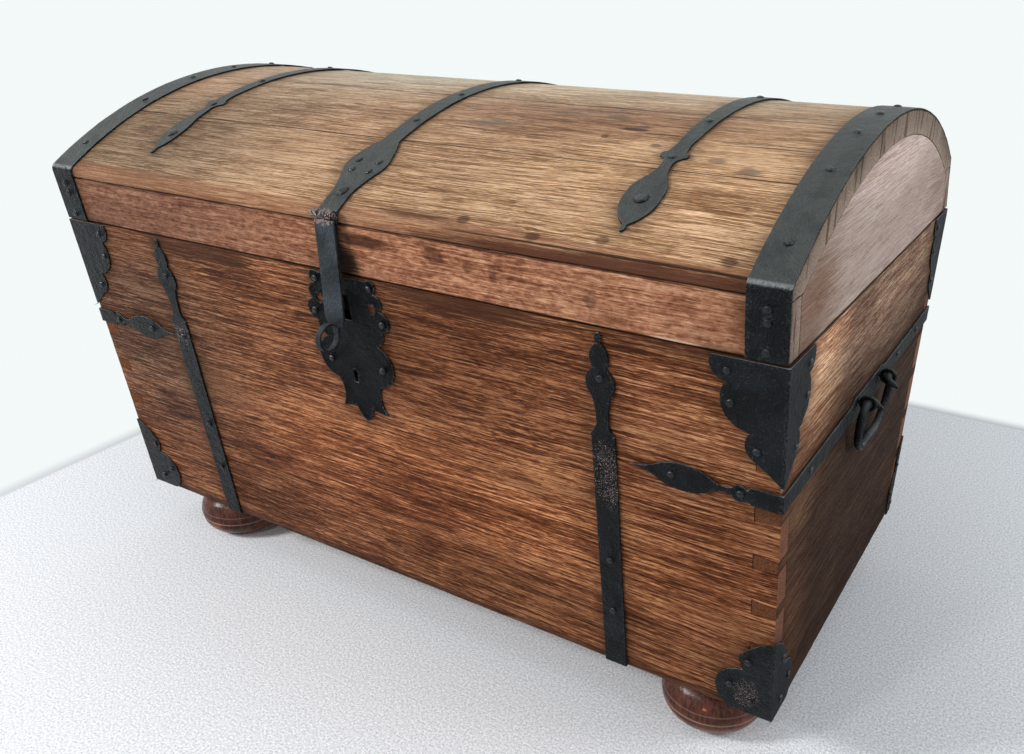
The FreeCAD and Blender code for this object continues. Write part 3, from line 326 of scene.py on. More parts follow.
def wobble(points, cell, seed=0):
    """Numbers from -1 to 1. Space is cut into cubes with sides of `cell` and each corner has a random
    number; a point blends the eight corners around it by 3t^2 - 2t^3 of its place along each side."""
    place = np.asarray(points, float) / cell
    corner = np.floor(place).astype(np.int64)
    t = place - corner
    t = t * t * (3 - 2 * t)
    total = np.zeros(len(place))
    for step in np.ndindex(2, 2, 2):
        c = corner + step
        mixed = (c[:, 0] * primes[0]) ^ (c[:, 1] * primes[1]) ^ (c[:, 2] * primes[2]) ^ (seed * seed_prime)
        mixed = ((mixed ^ (mixed >> 13)) * 1274126177) & 0x7FFFFFFF
        number = ((mixed ^ (mixed >> 16)) & 0xFFFF) / 32767.5 - 1
        total += number * np.prod(np.where(step, t, 1 - t), axis=1)
    return total


print("wobble", wobble(np.array([[0.1, 0.2, 0.3], [0.4, 0.5, 0.6]]), 0.05).round(3))

# %% [markdown]
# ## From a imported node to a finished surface
#
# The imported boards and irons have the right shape, but their corners are sharp as glass and their
# faces are dead flat, and nothing made by hand is. A copy of each is welded, its corners are
# bevelled, and planes cut it into cells so that there are vertices to move. Then every vertex goes
# inwards a little by smooth noise, and more at the corners, where hands and hammers reach first.
# Moving only inwards keeps each piece inside the space it was given, so nothing pokes through.


# %% Read and write a mesh as arrays
def vertex_array(mesh, normals=False):
    """Rows of x, y and z: each vertex's place, or its normal."""
    source, what = (mesh.vertex_normals, "vector") if normals else (mesh.vertices, "co")
    values = np.empty(len(source) * 3, np.float32)
    source.foreach_get(what, values)
    return values.reshape(-1, 3).astype(float)


def store(mesh, name, values):
    """One number per vertex, under a name that a material can ask for."""
    attribute = mesh.attributes.new(name, "FLOAT", "POINT")
    attribute.data.foreach_set("value", np.asarray(values, np.float32))


def cornering(mesh):
    """How far each vertex is from lying in a flat: 1 less the length of its faces' average normal."""
    normals = np.empty(len(mesh.polygons) * 3, np.float32)
    mesh.polygons.foreach_get("normal", normals)
    sizes = np.empty(len(mesh.polygons), np.int32)
    mesh.polygons.foreach_get("loop_total", sizes)
    corners = np.empty(len(mesh.loops), np.int32)
    mesh.loops.foreach_get("vertex_index", corners)
    of_face = np.repeat(np.arange(len(sizes)), sizes)
    total = np.zeros((len(mesh.vertices), 3))
    np.add.at(total, corners, normals.reshape(-1, 3)[of_face])
    count = np.bincount(corners, minlength=len(mesh.vertices)).clip(1)
    return 1 - np.linalg.norm(total, axis=1) / count


# %% Weld, bevel and cut a copy of a node
weld_distance = 0.00003
flat_angle, corner_angle = math.radians(0.4), math.radians(38)
nail_hole = 0.016  # rings of edges up to this wide are holes for nails and stay sharp


def outlines_to_bevel(mesh):
    """The sharp edges, less those of nail holes."""
    sharp = {e for e in mesh.edges if len(e.link_faces) == 2 and e.calc_face_angle() > corner_angle}
    kept = []
    while sharp:
        group, ends = [], [sharp.pop()]
        while ends:
            edge = ends.pop()
            group.append(edge)
            linked = {e for v in edge.verts for e in v.link_edges} & sharp
            sharp -= linked
            ends += linked
        places = np.array([v.co for e in group for v in e.verts])
        if np.ptp(places, axis=0).max() > nail_hole:
            kept += group
    return kept


def bevel_edges(work, edges, offset, segments):
    """Bevels bmesh edges by the same offset on both sides, in so many steps."""
    bmesh.ops.bevel(work, geom=edges, offset=offset, offset_type="OFFSET", segments=segments, profile=0.5,
                    affect="EDGES", clamp_overlap=False)


def cells_of(node, bevel, spacing, rounded=()):
    """A welded copy of the node's mesh, cut by planes `spacing` apart on each axis. Its corners get the
    bevel, after the level edges inside each box of `rounded` (low, high, offset) are rounded by it."""
    work = bmesh.new()
    work.from_mesh(nodes[node].data)
    bmesh.ops.remove_doubles(work, verts=work.verts, dist=weld_distance)
    bmesh.ops.dissolve_limit(work, angle_limit=flat_angle, verts=work.verts, edges=work.edges)
    for low, high, offset in rounded:
        inside = {v for v in work.verts if all(a <= c <= b for a, c, b in zip(low, v.co, high))}
        edges = [e for e in outlines_to_bevel(work) if set(e.verts) <= inside
                 and abs((e.verts[0].co - e.verts[1].co).x) > 0.95 * e.calc_length()]
        bevel_edges(work, edges, offset, 5)
    bevel_edges(work, outlines_to_bevel(work), bevel, 2)
    low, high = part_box(node)
    for axis, step in enumerate(spacing):
        across = Vector([float(i == axis) for i in range(3)])
        count = int((high[axis] - low[axis]) / step) if step else 0
        for k in range(1, count + 1):
            place = low[axis] + (high[axis] - low[axis]) * k / (count + 1)
            everything = work.verts[:] + work.edges[:] + work.faces[:]
            bmesh.ops.bisect_plane(work, geom=everything, dist=1e-6, plane_co=across * place,
                                   plane_no=across)
    bmesh.ops.triangulate(work, faces=[p for p in work.faces if len(p.verts) > 4])
    mesh = bpy.data.meshes.new(node)
    work.to_mesh(mesh)
    work.free()
    return mesh


# %% Finish a copy: wear it, smooth it and let it stand for its node
def nearest(places, points, slice_length=1500):
    """Distance from each place to the nearest of the points, taken in slices of the array to save memory:
    the squared distance is a^2 + b^2 - 2ab."""
    distance = np.empty(len(places))
    for start in range(0, len(places), slice_length):
        part = places[start:start + slice_length]
        square = (part ** 2).sum(1)[:, None] + (points ** 2).sum(1)[None] - 2 * part @ points.T
        distance[start:start + slice_length] = np.sqrt(square.min(1).clip(0))
    return distance


def piece_of(mesh, name, finish, sharp_degrees):
    """An object of the mesh with one finish, smooth but for the edges sharper than the angle."""
    mesh.polygons.foreach_set("use_smooth", np.ones(len(mesh.polygons), bool))
    mesh.set_sharp_from_angle(angle=math.radians(sharp_degrees))
    mesh.materials.clear()
    mesh.materials.append(finish)
    piece = bpy.data.objects.new(name, mesh)
    scene.collection.objects.link(piece)
    return piece


def worn_piece(node, prefix, bevel, spacing, waves, wear, finish, rounded=(), lip=0.0):
    """The node's copy after wear. Each vertex moves inwards along its normal by the sum of `waves`, pairs
    of cell and depth, each as depth * (1 + noise) / 2, and at corners by wear * ((1 + noise) / 2)^2 more.
    A `lip` sinks what lies more than 4 mm from a corner, so that the outline stands proud. Last, the
    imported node's own box holds in the long points that a bevel leaves at a sharp tip."""
    mesh = cells_of(node, bevel, spacing, rounded)
    places, normals = vertex_array(mesh), vertex_array(mesh, normals=True)
    corner = np.clip((cornering(mesh) - 0.008) / 0.03, 0, 1)
    depth = sum(d * (1 + wobble(places, cell, 3 + i)) / 2 for i, (cell, d) in enumerate(waves))
    depth = depth + wear * corner * ((1 + wobble(places, 0.011, 11)) / 2) ** 2
    if lip:
        inward = np.clip((nearest(places, places[corner > 0.6]) - 0.0015) / 0.0025, 0, 1)
        depth = depth + lip * inward * inward * (3 - 2 * inward)
    low, high = (np.array(v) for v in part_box(node))
    worn = (places - normals * depth[:, None]).clip(low, high)
    mesh.vertices.foreach_set("co", worn.astype(np.float32).ravel())
    store(mesh, "corner", corner)
    piece = piece_of(mesh, prefix + node, finish, 42)
    piece.modifiers.new("flat_faces", "WEIGHTED_NORMAL").keep_sharp = True
    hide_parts(node)
    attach(piece, nodes[node]["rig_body"])
    return piece


print("pieces can be worn")

# %% [markdown]
# ## Black iron
#
# The straps were hammered out at a forge and painted black long ago. The paint is thick, a little
# glossy, and follows every hammer dent. Where it faces up it is painted slate grey, for fine dust and
# in part as a painted sheen of the pale room, and it is rubbed through to pinkish metal at a few places.
# Painted highlights lie along up-facing corners and along the bend of the lid's bands, and pale specks
# on the pits are painted sparkle. Each is a mask between 0 and 1 that mixes one colour into another,
# and the dents are a height that a Bump node turns into shading.


# %% The black iron finish
# Grey for up-facing paint: dust, and in part a painted sheen. Paler grey for painted sparkle on the pits.
dust_and_sheen_grey, painted_sparkle_grey = (0.060, 0.067, 0.066), (0.040, 0.045, 0.050)
# Paler greys painted on as highlights: along up-facing corners and along the bend of the lid's bands.
painted_rim_highlight, fold_highlight_grey, bare_metal = (0.30, 0.31, 0.32), (0.24, 0.25, 0.26), (0.30, 0.215, 0.19)
dent_depth = 0.0030


def black_iron(name, rubbed=(), dust_and_sheen_amount=1.0, gloss=0.14, paint=(0.0035, 0.0045, 0.0055), bare_zones=(),
               hammered=1.0, edge=(0.075, 0.078, 0.080), painted_highlights=(), sheen=0.075):
    """Painted iron. `rubbed` and `bare_zones` list places (centre, reach along x, y and z, strength): the
    first are speckled with chips, and on the second the paint is gone in patches. `hammered` scales the
    dents, and `edge` is the colour of chipped corners; on the lock plate it is pale, as a painted highlight
    on its rims. The amount of grey on up-facing paint, dust and in part a painted sheen, can be scaled,
    and the places listed for highlights get a paler grey painted on as a highlight. The paint's `sheen` is
    low, so that it stays black in a pale room, and its smoothness gives it glints, with painted highlights
    along up-facing corners and painted sparkle on the pits. On the chest's ends, which nobody polishes in
    passing, it is rough."""
    f = new_finish(name)
    here, up, endwise = f.place(), f.facing("Z"), f.rise(abs(f.facing("X")), 0.8, 0.95)
    dents = f.noise(here, (90, 90, 90), 2, 0.55)
    pits = f.noise(here, (400, 400, 400), 2, 0.6)
    clouds = f.noise(here, (24, 24, 24), 3, 0.6)
    specks = f.noise(here, (720, 720, 720), 1, 0.5)
    corner = f.stored("corner")

    def zone_of(centre, reach, strength):
        return f.rise(f.distance(here, centre, reach), 1.15, 0.55) * strength

    colour = f.blend(f.rise(clouds, 0.4, 0.66), paint, [c * 2.3 for c in paint])
    # Up-facing paint turns grey: dust, and in part a painted sheen of the pale room.
    dust_and_sheen = f.rise(up, 0.25, 0.9) * (f.rise(clouds, 0.25, 0.7) * 0.5 + 0.5) * dust_and_sheen_amount
    colour = f.blend(dust_and_sheen, colour, dust_and_sheen_grey)
    chipped = corner * f.rise(pits, 0.48, 0.64)
    colour = f.blend(chipped * 0.7, colour, edge)
    # A painted highlight along up-facing corners.
    rim = f.rise(corner, 0.72, 0.98) * f.rise(up, 0.15, 0.6) * f.rise(clouds, 0.35, 0.5)
    colour = f.blend(rim * 0.8, colour, painted_rim_highlight)
    # Painted highlights at the given places, broken up by the pits.
    for zone in painted_highlights:
        fold_highlight = zone_of(*zone) * f.rise(pits * 0.6 + clouds * 0.4, 0.35, 0.5)
        colour = f.blend(fold_highlight, colour, fold_highlight_grey)
    # Painted sparkle: pale specks on the pits where glints would be.
    painted_sparkle = f.rise(pits, 0.60, 0.70) * f.rise(clouds, 0.35, 0.6)
    colour = f.blend(painted_sparkle * 0.6, colour, painted_sparkle_grey)
    bare = f.rise(specks, 0.74, 0.78) * f.rise(clouds, 0.55, 0.75) * 0.3
    for zone in rubbed:
        here_worn = zone_of(*zone)
        speckled = f.rise(specks * 0.8 + clouds * 0.25 + here_worn * 0.1, 0.695, 0.72)
        bare = bare.most(speckled * f.rise(here_worn, 0.0, 0.4) * 0.8)
    for zone in bare_zones:
        here_worn = zone_of(*zone)
        patches = f.rise(pits * 0.7 + dents * 0.3 + here_worn * 0.12, 0.57, 0.68)
        bare = bare.most(patches * f.rise(here_worn, 0.0, 0.4) * 0.75)
    colour = f.blend(bare, colour, bare_metal)
    rough = gloss + dust_and_sheen * 0.25 + bare * 0.15 + pits * 0.08 + endwise * 0.45
    return f.surface(bump=dents + pits * 0.75, bump_depth=dent_depth * hammered, Base_Color=colour,
                     Roughness=rough, Metallic=bare * 0.5, Specular_IOR_Level=sheen)


strap_rub = [((0.362, -0.345, 0.395), (0.03, 0.08, 0.055), 1.0)]
strap_rub_left = [((-0.373, -0.345, 0.425), (0.03, 0.08, 0.02), 0.7)]
corner_rub = [((0.542, -0.29, 0.118), (0.020, 0.06, 0.030), 0.9)]
hinge_bare = [((-0.012, -0.392, 0.671), (0.024, 0.014, 0.016), 1.0),
              ((-0.036, -0.39, 0.671), (0.012, 0.012, 0.012), 1.0)]
# A painted highlight along the front bend of the lid's end bands.
lid_fold_highlight = [((0.0, -0.3855, 0.6755), (9, 0.006, 0.004), 0.75)]
iron_black = black_iron("black_iron_paint")
iron_strap_right = black_iron("black_iron_rubbed_strap", strap_rub)
iron_strap_left = black_iron("black_iron_rubbed_left", strap_rub_left)
iron_corner = black_iron("black_iron_rubbed_corner", corner_rub)
# The lock plate's pale edge colour is a painted highlight on its rims.
iron_plate = black_iron("black_iron_plate", gloss=0.11, paint=(0.0010, 0.0014, 0.0018),
                        edge=(0.22, 0.225, 0.23), sheen=0.055)
iron_lid = black_iron("black_iron_dust_and_sheen", dust_and_sheen_amount=1.2, painted_highlights=lid_fold_highlight)
iron_middle = black_iron("black_iron_middle_strap", dust_and_sheen_amount=1.2, bare_zones=hinge_bare)
# The hasp's paint is paler than the other irons' paint, as a painted sheen.
iron_hasp = black_iron("black_iron_hasp", gloss=0.30, paint=(0.015, 0.019, 0.0225), bare_zones=hinge_bare)
print("finishes", len(bpy.data.materials))

# %% [markdown]
# ## The straps, bands and corner irons
#
# Sheet and bar irons differ only in how finely they must be cut: a band over the dome is long and
# plain, and a scalloped plate is small and busy. One table holds each node's finish and cell size.

# %% Forge the irons
plate_cells, lid_strap_cells = (0.006, 0.006, 0.006), (0.007, 0.007, 0)
both = ("left", "right")
iron_table = {
    "body_strap_left": (iron_strap_left, (0.008, 0.008, 0.007)),
    "body_strap_right": (iron_strap_right, (0.008, 0.008, 0.007)),
}
for stem, ends, finish, cells in (
    ("lid_strap", both, iron_lid, lid_strap_cells),
    ("lid_strap", ("middle",), iron_middle, lid_strap_cells),
    ("lid_end_band", both, iron_lid, (0.009, 0.009, 0.02)),
    ("handle_strap", both, iron_black, (0.008, 0.008, 0.006)),
    ("hinge_leaf", both, iron_black, (0.009, 0, 0.009)),
):
    iron_table.update({f"{stem}_{end}": (finish, cells) for end in ends})
iron_table["lock_plate"] = (iron_plate, (0.0028, 0, 0.0028))
iron_table["hasp_bar"] = (iron_hasp, plate_cells)
for end in both:
    for level in ("upper", "lower"):
        for side in ("front", "back"):
            rubbed = (level, side, end) == ("lower", "front", "right")
            finish = iron_corner if rubbed else iron_black
            iron_table[f"corner_iron_{level}_{side}_{end}"] = (finish, plate_cells)

hammer = [(0.022, 0.0004), (0.009, 0.0002)]
bend = [((-1, -0.40, 0.66), (1, -0.36, 0.70), 0.006)]  # where a band turns down at the front
sheet_bevel, sheet_wear, plate_lip = 0.0008, 0.0006, 0.0009
forged = {}
for node, (finish, cells) in iron_table.items():
    rounded = bend if node.startswith("lid_end_band") else ()
    lip = plate_lip if node == "lock_plate" else 0.0
    forged[node] = worn_piece(node, "forged_", sheet_bevel, cells, hammer, sheet_wear, finish, rounded, lip)
print("forged", len(forged), "pieces,", sum(len(p.data.polygons) for p in forged.values()), "faces")

# %% Round bars, pins and staples
bar_nodes = ["handle_left", "handle_right", "handle_eyes_left", "handle_eyes_right", "hasp_staple",
             "hinge_pin_left", "hinge_pin_right", "hasp_pin"]
bar_cells, bar_waves, bar_bevel, bar_wear = (0.004, 0.004, 0.004), [(0.012, 0.0004)], 0.0004, 0.0003
for node in bar_nodes:
    finish = iron_hasp if node == "hasp_pin" else iron_black
    forged[node] = worn_piece(node, "forged_", bar_bevel, bar_cells, bar_waves, bar_wear, finish)
print("bars", len(bar_nodes))

# %% [markdown]
# ## Oak
#
# Oak's grain is a bundle of long fibres, so every pattern in it is long one way and fine the other.
# The pattern's coordinates are squeezed across the board and stretched along it, bent by a slow
# wander and a quick ripple, and then read by smooth noise at four sizes: broad bands, fine lines,
# open pores and large stains. Where a board is cut across, its end shows speckle instead of lines.


# %% The oak finish
tone_places = (0.18, 0.40, 0.60, 0.84)  # where each of a board's four colours lies on the scale of tones
weathered_ends = ((0.12, 0.085, 0.066), (0.40, 0.32, 0.265))
grime_and_shade, crack_and_shadow_black, umber = (0.022, 0.009, 0.005), (0.010, 0.0045, 0.003), (0.045, 0.014, 0.006)
crack_black, iron_stain = (0.018, 0.010, 0.007), (0.014, 0.007, 0.004)
grain_depth = 0.0010


def oak(name, along, shift, colours, ripple=1.0, dark=0.5, shine=0.36, mottle=0.0, marks=(), tints=(),
        ends=None, seam=0.0, relief=1.0, fine=1.0, sheen=0.05):
    """Old waxed oak with its grain along one axis (0, 1 or 2). `colours` goes from the darkest line to
    the palest wood, `mottle` swaps that share of the lines for burl, and `marks` lists (centre, reach
    on each axis, colour, strength) of knots, stains, painted shade with some grime in seams, and the
    hasp's painted shadow. `tints` lists (centre, reach, multiplier) of wide regions that are paler or
    darker, some of them a painted sheen. `ends` is the end grain's two colours, and without them it is
    weathered and cracked. `seam` blackens the piece's edges, painted shade with grime in its joints,
    `relief` is the depth of the grain in millimetres and `fine` sets how close its lines are. `sheen` is
    the wax's own: little, as old wax has gone dull."""
    f = new_finish(name)
    own = f.place()
    here = f.moved(own, shift)

    def grain(long, cross):
        return [long if i == along else cross for i in range(3)]

    wander = f.noise(here, grain(2.0, 5), 2, 0.5, output="Color")
    quick = f.noise(here, grain(26, 55), 1, 0.5, output="Color")
    middle_grey = (-0.5, -0.5, -0.5)
    slow_bend = f.scaled(f.moved(wander, middle_grey), grain(0, 0.022))
    quick_bend = f.scaled(f.moved(quick, middle_grey), grain(0, 0.0026 * ripple))
    bent = f.moved(f.moved(here, slow_bend), quick_bend)

    bands = f.noise(bent, grain(3.2, 60), 2, 0.5)
    lines = f.noise(bent, grain(12, 480 * fine), 3, 0.66)
    pores = f.noise(bent, grain(90, 1000 * fine), 2, 0.6)
    clouds = f.noise(here, grain(2.6, 8), 4, 0.62)
    tone = lines * 1.9 + bands * 0.3 + clouds * 0.85 + pores * 1.1 - 1.56
    if mottle:
        burl = f.noise(here, grain(80, 150), 4, 0.68, 0.4)
        tone = tone * (1 - mottle) + (burl * 2.2 - 0.6) * mottle
    stops = list(zip(tone_places, colours))
    colour = f.node("ShaderNodeValToRGB", {"stops": stops}, [tone], "Color")
    open_pore = f.rise(pores, 0.55, 0.70) * f.rise(lines, 0.58, 0.42)
    colour = f.blend(open_pore * 0.5, colour, colours[0])
    colour = f.blend(f.rise(clouds + lines * 0.4, 0.72, 0.94) * dark, colour, colours[0])

    for centre, reach, multiplier in tints:
        zone = f.rise(f.distance(own, centre, reach) + (clouds - 0.5) * 0.8, 1.25, 0.25)
        colour = f.blend(zone, colour, multiplier, "MULTIPLY")
    for centre, reach, mark, strength in marks:
        ragged = (clouds - 0.5) * 1.1
        spot = f.rise(f.distance(own, centre, reach) + ragged + (lines - 0.5) * 0.9, 1.15, 0.55)
        colour = f.blend(spot * strength, colour, mark)

    cut_across = f.rise(abs(f.facing("XYZ"[along])), 0.7, 0.93)
    speckle = f.noise(own, (520, 520, 520), 3, 0.7)
    end_grain = f.blend(f.rise(speckle, 0.3, 0.7), *(ends or weathered_ends))
    if not ends:
        radial = f.noise(own, (3, 75, 9), 2, 0.6)
        end_grain = f.blend(f.rise(radial, 0.57, 0.62) * 0.95, end_grain, crack_black)
    colour = f.blend(cut_across * 0.8, colour, end_grain)
    near_iron, corner = f.stored("near_iron"), f.stored("corner")
    stain = (near_iron * (f.rise(clouds + lines * 0.4, 0.55, 0.9) * 0.7 + 0.35)).least(1)
    colour = f.blend(stain * 0.85, colour, iron_stain)
    rubbed = corner * f.rise(lines, 0.45, 0.6) * f.rise(near_iron, 0.3, 0.0)
    colour = f.blend(rubbed * 0.25, colour, colours[3])
    # The piece's edges get painted shade with grime, in its joints.
    if seam:
        colour = f.blend(f.rise(corner + (speckle - 0.5) * 0.2, 0.78, 0.95) * seam, colour, grime_and_shade)
    rough = shine - tone * 0.1 + open_pore * 0.2 + stain * 0.12 + cut_across * 0.2
    height = tone * 0.8 + lines * 0.4 - open_pore * 0.5 + speckle * cut_across * 0.8
    return f.surface(bump=height, bump_depth=grain_depth * relief, Base_Color=colour, Roughness=rough,
                     Specular_IOR_Level=sheen)


print("oak can be written")

# %% [markdown]
# Each kind of board has four tones, and then its own regions and marks: paler and darker regions,
# among them a painted sheen on the dome's top and the lid's ends and the side boards' painted shade,
# painted shade with some grime in the seams, the hasp's painted shadow, wooden pegs, knots and two
# long cracks in the dome. Their places are written in metres on the chest, and a reach of 9 means all
# along an axis.

# %% Tones, regions and marks
front_tones = [(0.030, 0.007, 0.002), (0.098, 0.029, 0.010), (0.235, 0.084, 0.034), (0.50, 0.240, 0.115)]
rail_tones = [(0.070, 0.021, 0.010), (0.19, 0.070, 0.035), (0.35, 0.155, 0.085), (0.54, 0.30, 0.180)]
dome_tones = [(0.110, 0.050, 0.022), (0.26, 0.140, 0.070), (0.49, 0.295, 0.165), (0.72, 0.50, 0.32)]
# The side boards' tones are painted shade: the same oak as the front, made far darker as the ends face away
# from the light.
side_tones_in_shade = [(0.009, 0.003, 0.0015), (0.020, 0.008, 0.0045), (0.036, 0.017, 0.009), (0.066, 0.037, 0.022)]
# The gables' tones are a pale pinkish grey, partly a painted sheen over the oak.
gable_tones_with_sheen = [(0.19, 0.125, 0.098), (0.275, 0.20, 0.168), (0.345, 0.265, 0.230), (0.415, 0.330, 0.295)]
front_ends = ((0.075, 0.025, 0.012), (0.20, 0.082, 0.040))

# Painted shade, with some grime, in the seam under the lid and in the seam under the lid's nose.
under_lid = ((0.0, -0.368, 0.591), (9, 9, 0.0045), grime_and_shade, 0.9)
under_nose = ((0.0, -0.38, 0.6585), (9, 9, 0.0022), grime_and_shade, 0.75)
front_tints = [
    ((0.10, -0.36, 0.50), (0.24, 9, 0.11), (0.66, 0.60, 0.56)),
    ((-0.45, -0.34, 0.42), (0.24, 9, 0.22), (0.53, 0.62, 0.78)),
    ((0.00, -0.33, 0.27), (0.32, 9, 0.13), (1.30, 1.22, 1.15)),
    ((0.20, -0.31, 0.16), (0.30, 9, 0.07), (0.70, 0.66, 0.62)),
    ((0.30, -0.33, 0.27), (0.16, 9, 0.14), (1.35, 1.38, 1.36)),
    ((0.46, -0.36, 0.48), (0.12, 9, 0.10), (1.28, 1.36, 1.45)),
    ((-0.30, -0.31, 0.20), (0.18, 9, 0.12), (0.75, 0.72, 0.70)),
    ((0.48, -0.31, 0.25), (0.10, 9, 0.10), (0.90, 0.84, 0.78)),
]
rail_tints = [
    ((-0.40, -0.37, 0.625), (0.34, 9, 0.2), (0.62, 0.64, 0.70)),
    ((0.30, -0.37, 0.63), (0.30, 9, 0.2), (1.15, 1.2, 1.22)),
]
dome_tints_with_sheen = [
    ((-0.42, -0.30, 0.70), (0.28, 0.18, 0.2), (0.52, 0.55, 0.58)),
    ((0.42, -0.25, 0.74), (0.26, 0.16, 0.2), (1.36, 1.36, 1.34)),
    # The next two regions make the dome's top paler and bluer: a painted sheen.
    ((0.12, 0.08, 0.78), (0.55, 0.20, 0.2), (1.48, 1.80, 2.05)),
    ((-0.25, 0.00, 0.78), (0.25, 0.20, 0.2), (0.96, 1.12, 1.26)),
    ((0.22, -0.13, 0.78), (0.26, 0.07, 0.2), (0.70, 0.60, 0.56)),
]
# The side boards' regions: lighter at the upper front and warmer low at the front, and pale bluish grey at
# the top rear as a painted sheen.
side_tints_with_sheen = [
    ((0.575, -0.30, 0.50), (9, 0.16, 0.17), (4.8, 4.8, 4.4)),
    ((0.575, 0.10, 0.57), (9, 0.44, 0.13), (6.4, 8.0, 9.6)),
    ((0.575, -0.28, 0.20), (9, 0.10, 0.16), (2.2, 2.0, 1.8)),
]
# The gables: paler at the top as a painted sheen, and darker low at the front.
gable_tints_with_sheen = [
    ((0.575, 0.02, 0.77), (9, 0.34, 0.10), (1.60, 1.66, 1.72)),
    ((0.575, -0.33, 0.63), (9, 0.14, 0.07), (0.62, 0.50, 0.42)),
]
front_marks = [
    under_lid,
    # A dark band on the front under the lid: painted shade, with stain.
    ((0.17, -0.367, 0.586), (0.16, 9, 0.030), umber, 0.85),
    ((-0.30, -0.367, 0.586), (0.13, 9, 0.034), umber, 0.8),
    ((0.45, -0.367, 0.588), (0.10, 9, 0.020), umber, 0.6),
    ((0.0, -0.33, 0.09), (9, 9, 0.010), grime_and_shade, 0.7),
]
rail_marks = [
    under_nose,
    # Painted shade with grime in the seam under the rail.
    ((0.0, -0.369, 0.5895), (9, 9, 0.0028), grime_and_shade, 0.75),
    # The hasp's cast shadow on the rail, painted near-black, and beside it a brown patch of painted shadow
    # with stain.
    ((-0.012, -0.375, 0.640), (0.016, 9, 0.050), crack_and_shadow_black, 0.95),
    ((-0.002, -0.372, 0.606), (0.028, 9, 0.026), crack_and_shadow_black, 0.95),
    ((0.036, -0.377, 0.641), (0.044, 9, 0.010), umber, 0.85),
    ((0.147, -0.377, 0.638), (0.014, 9, 0.013), umber, 0.55),
    ((0.195, -0.376, 0.632), (0.007, 9, 0.008), umber, 0.5),
    ((0.228, -0.376, 0.630), (0.006, 9, 0.010), umber, 0.5),
    ((0.354, -0.374, 0.620), (0.010, 9, 0.013), umber, 0.5),
    ((0.455, -0.369, 0.592), (0.034, 9, 0.0022), (0.62, 0.43, 0.30), 0.8),
]
dome_marks = [
    ((0.296, -0.160, 0.7690), (0.021, 0.0050, 0.02), crack_and_shadow_black, 0.85),
    ((0.306, -0.150, 0.7710), (0.014, 0.0035, 0.02), crack_and_shadow_black, 0.75),
    ((0.330, -0.168, 0.7670), (0.030, 0.0022, 0.02), crack_and_shadow_black, 0.75),
    ((0.254, -0.126, 0.775), (0.020, 0.012, 0.02), (0.12, 0.085, 0.055), 0.6),
    ((0.097, -0.178, 0.764), (0.045, 0.010, 0.02), (0.15, 0.105, 0.080), 0.6),
    ((0.185, -0.127, 0.775), (0.030, 0.010, 0.02), (0.14, 0.090, 0.065), 0.5),
    ((0.427, -0.218, 0.752), (0.016, 0.008, 0.02), (0.10, 0.065, 0.048), 0.6),
    ((0.471, -0.233, 0.747), (0.018, 0.009, 0.02), (0.10, 0.070, 0.055), 0.65),
    ((0.0, -0.2457, 0.742), (9, 0.0017, 0.05), crack_and_shadow_black, 0.75),
    ((0.0, -0.0890, 0.781), (9, 0.0017, 0.05), crack_and_shadow_black, 0.7),
    ((0.49, -0.170, 0.766), (0.06, 0.0017, 0.02), crack_and_shadow_black, 0.8),
    ((0.269, -0.187, 0.7615), (0.006, 0.005, 0.02), umber, 0.7),
    ((0.341, -0.197, 0.7586), (0.008, 0.006, 0.02), umber, 0.6),
    ((0.487, -0.178, 0.764), (0.050, 0.0022, 0.02), umber, 0.8),
    ((-0.244, -0.083, 0.78), (0.085, 0.0035, 0.05), umber, 0.6),
]
nose_marks = [
    under_nose,
    ((0.0, -0.377, 0.668), (9, 0.022, 0.017), (0.25, 0.105, 0.055), 0.55),
    ((0.43, -0.381, 0.664), (0.32, 0.014, 0.0115), (0.080, 0.027, 0.014), 0.92),
    # A painted shade line where a groove would lie above the bead.
    ((0.43, -0.380, 0.6745), (0.28, 9, 0.0013), crack_and_shadow_black, 0.85),
    ((0.181, -0.363, 0.685), (0.009, 0.007, 0.02), umber, 0.7),
    ((0.279, -0.371, 0.680), (0.010, 0.006, 0.02), umber, 0.7),
    ((0.361, -0.362, 0.685), (0.009, 0.007, 0.02), umber, 0.55),
    ((0.504, -0.364, 0.684), (0.010, 0.007, 0.02), umber, 0.7),
    ((0.105, -0.366, 0.683), (0.055, 0.006, 0.02), umber, 0.55),
]
# Painted shade with grime in the seam under the lid, on the gables and the side boards.
gable_marks = [((0.575, 0.0, 0.5895), (9, 9, 0.003), grime_and_shade, 0.8)]
side_marks = [((0.575, 0.0, 0.5905), (9, 9, 0.004), grime_and_shade, 0.8)]

# %% Season the boards
front_oak = oak("oak_front", 0, (0.3, 0.1, 0.2), front_tones, dark=0.6, marks=front_marks,
                tints=front_tints, ends=front_ends)
back_oak = oak("oak_back", 0, (1.7, 0.4, 0.9), front_tones, dark=0.6, ends=front_ends)
side_oak = oak("oak_sides_in_painted_shade", 1, (0.6, 0.2, 1.4), side_tones_in_shade, ripple=0.6, shine=0.66, marks=side_marks,
               tints=side_tints_with_sheen, ends=front_ends, relief=0.6, fine=1.3, sheen=0.02)
bottom_oak = oak("oak_bottom", 0, (2.3, 0.8, 0.1), front_tones, ripple=0.8, dark=0.7)
rail_oak = oak("oak_rails", 0, (3.1, 0.5, 0.6), rail_tones, ripple=1.3, mottle=0.4, marks=rail_marks,
               tints=rail_tints)
gable_oak = oak("oak_gables_with_painted_sheen", 1, (0.9, 1.2, 0.3), gable_tones_with_sheen, ripple=0.5, dark=0.25, shine=0.6,
                marks=gable_marks, tints=gable_tints_with_sheen, seam=0.85, relief=0.3, fine=1.6, sheen=0.02)
stave_oaks = []
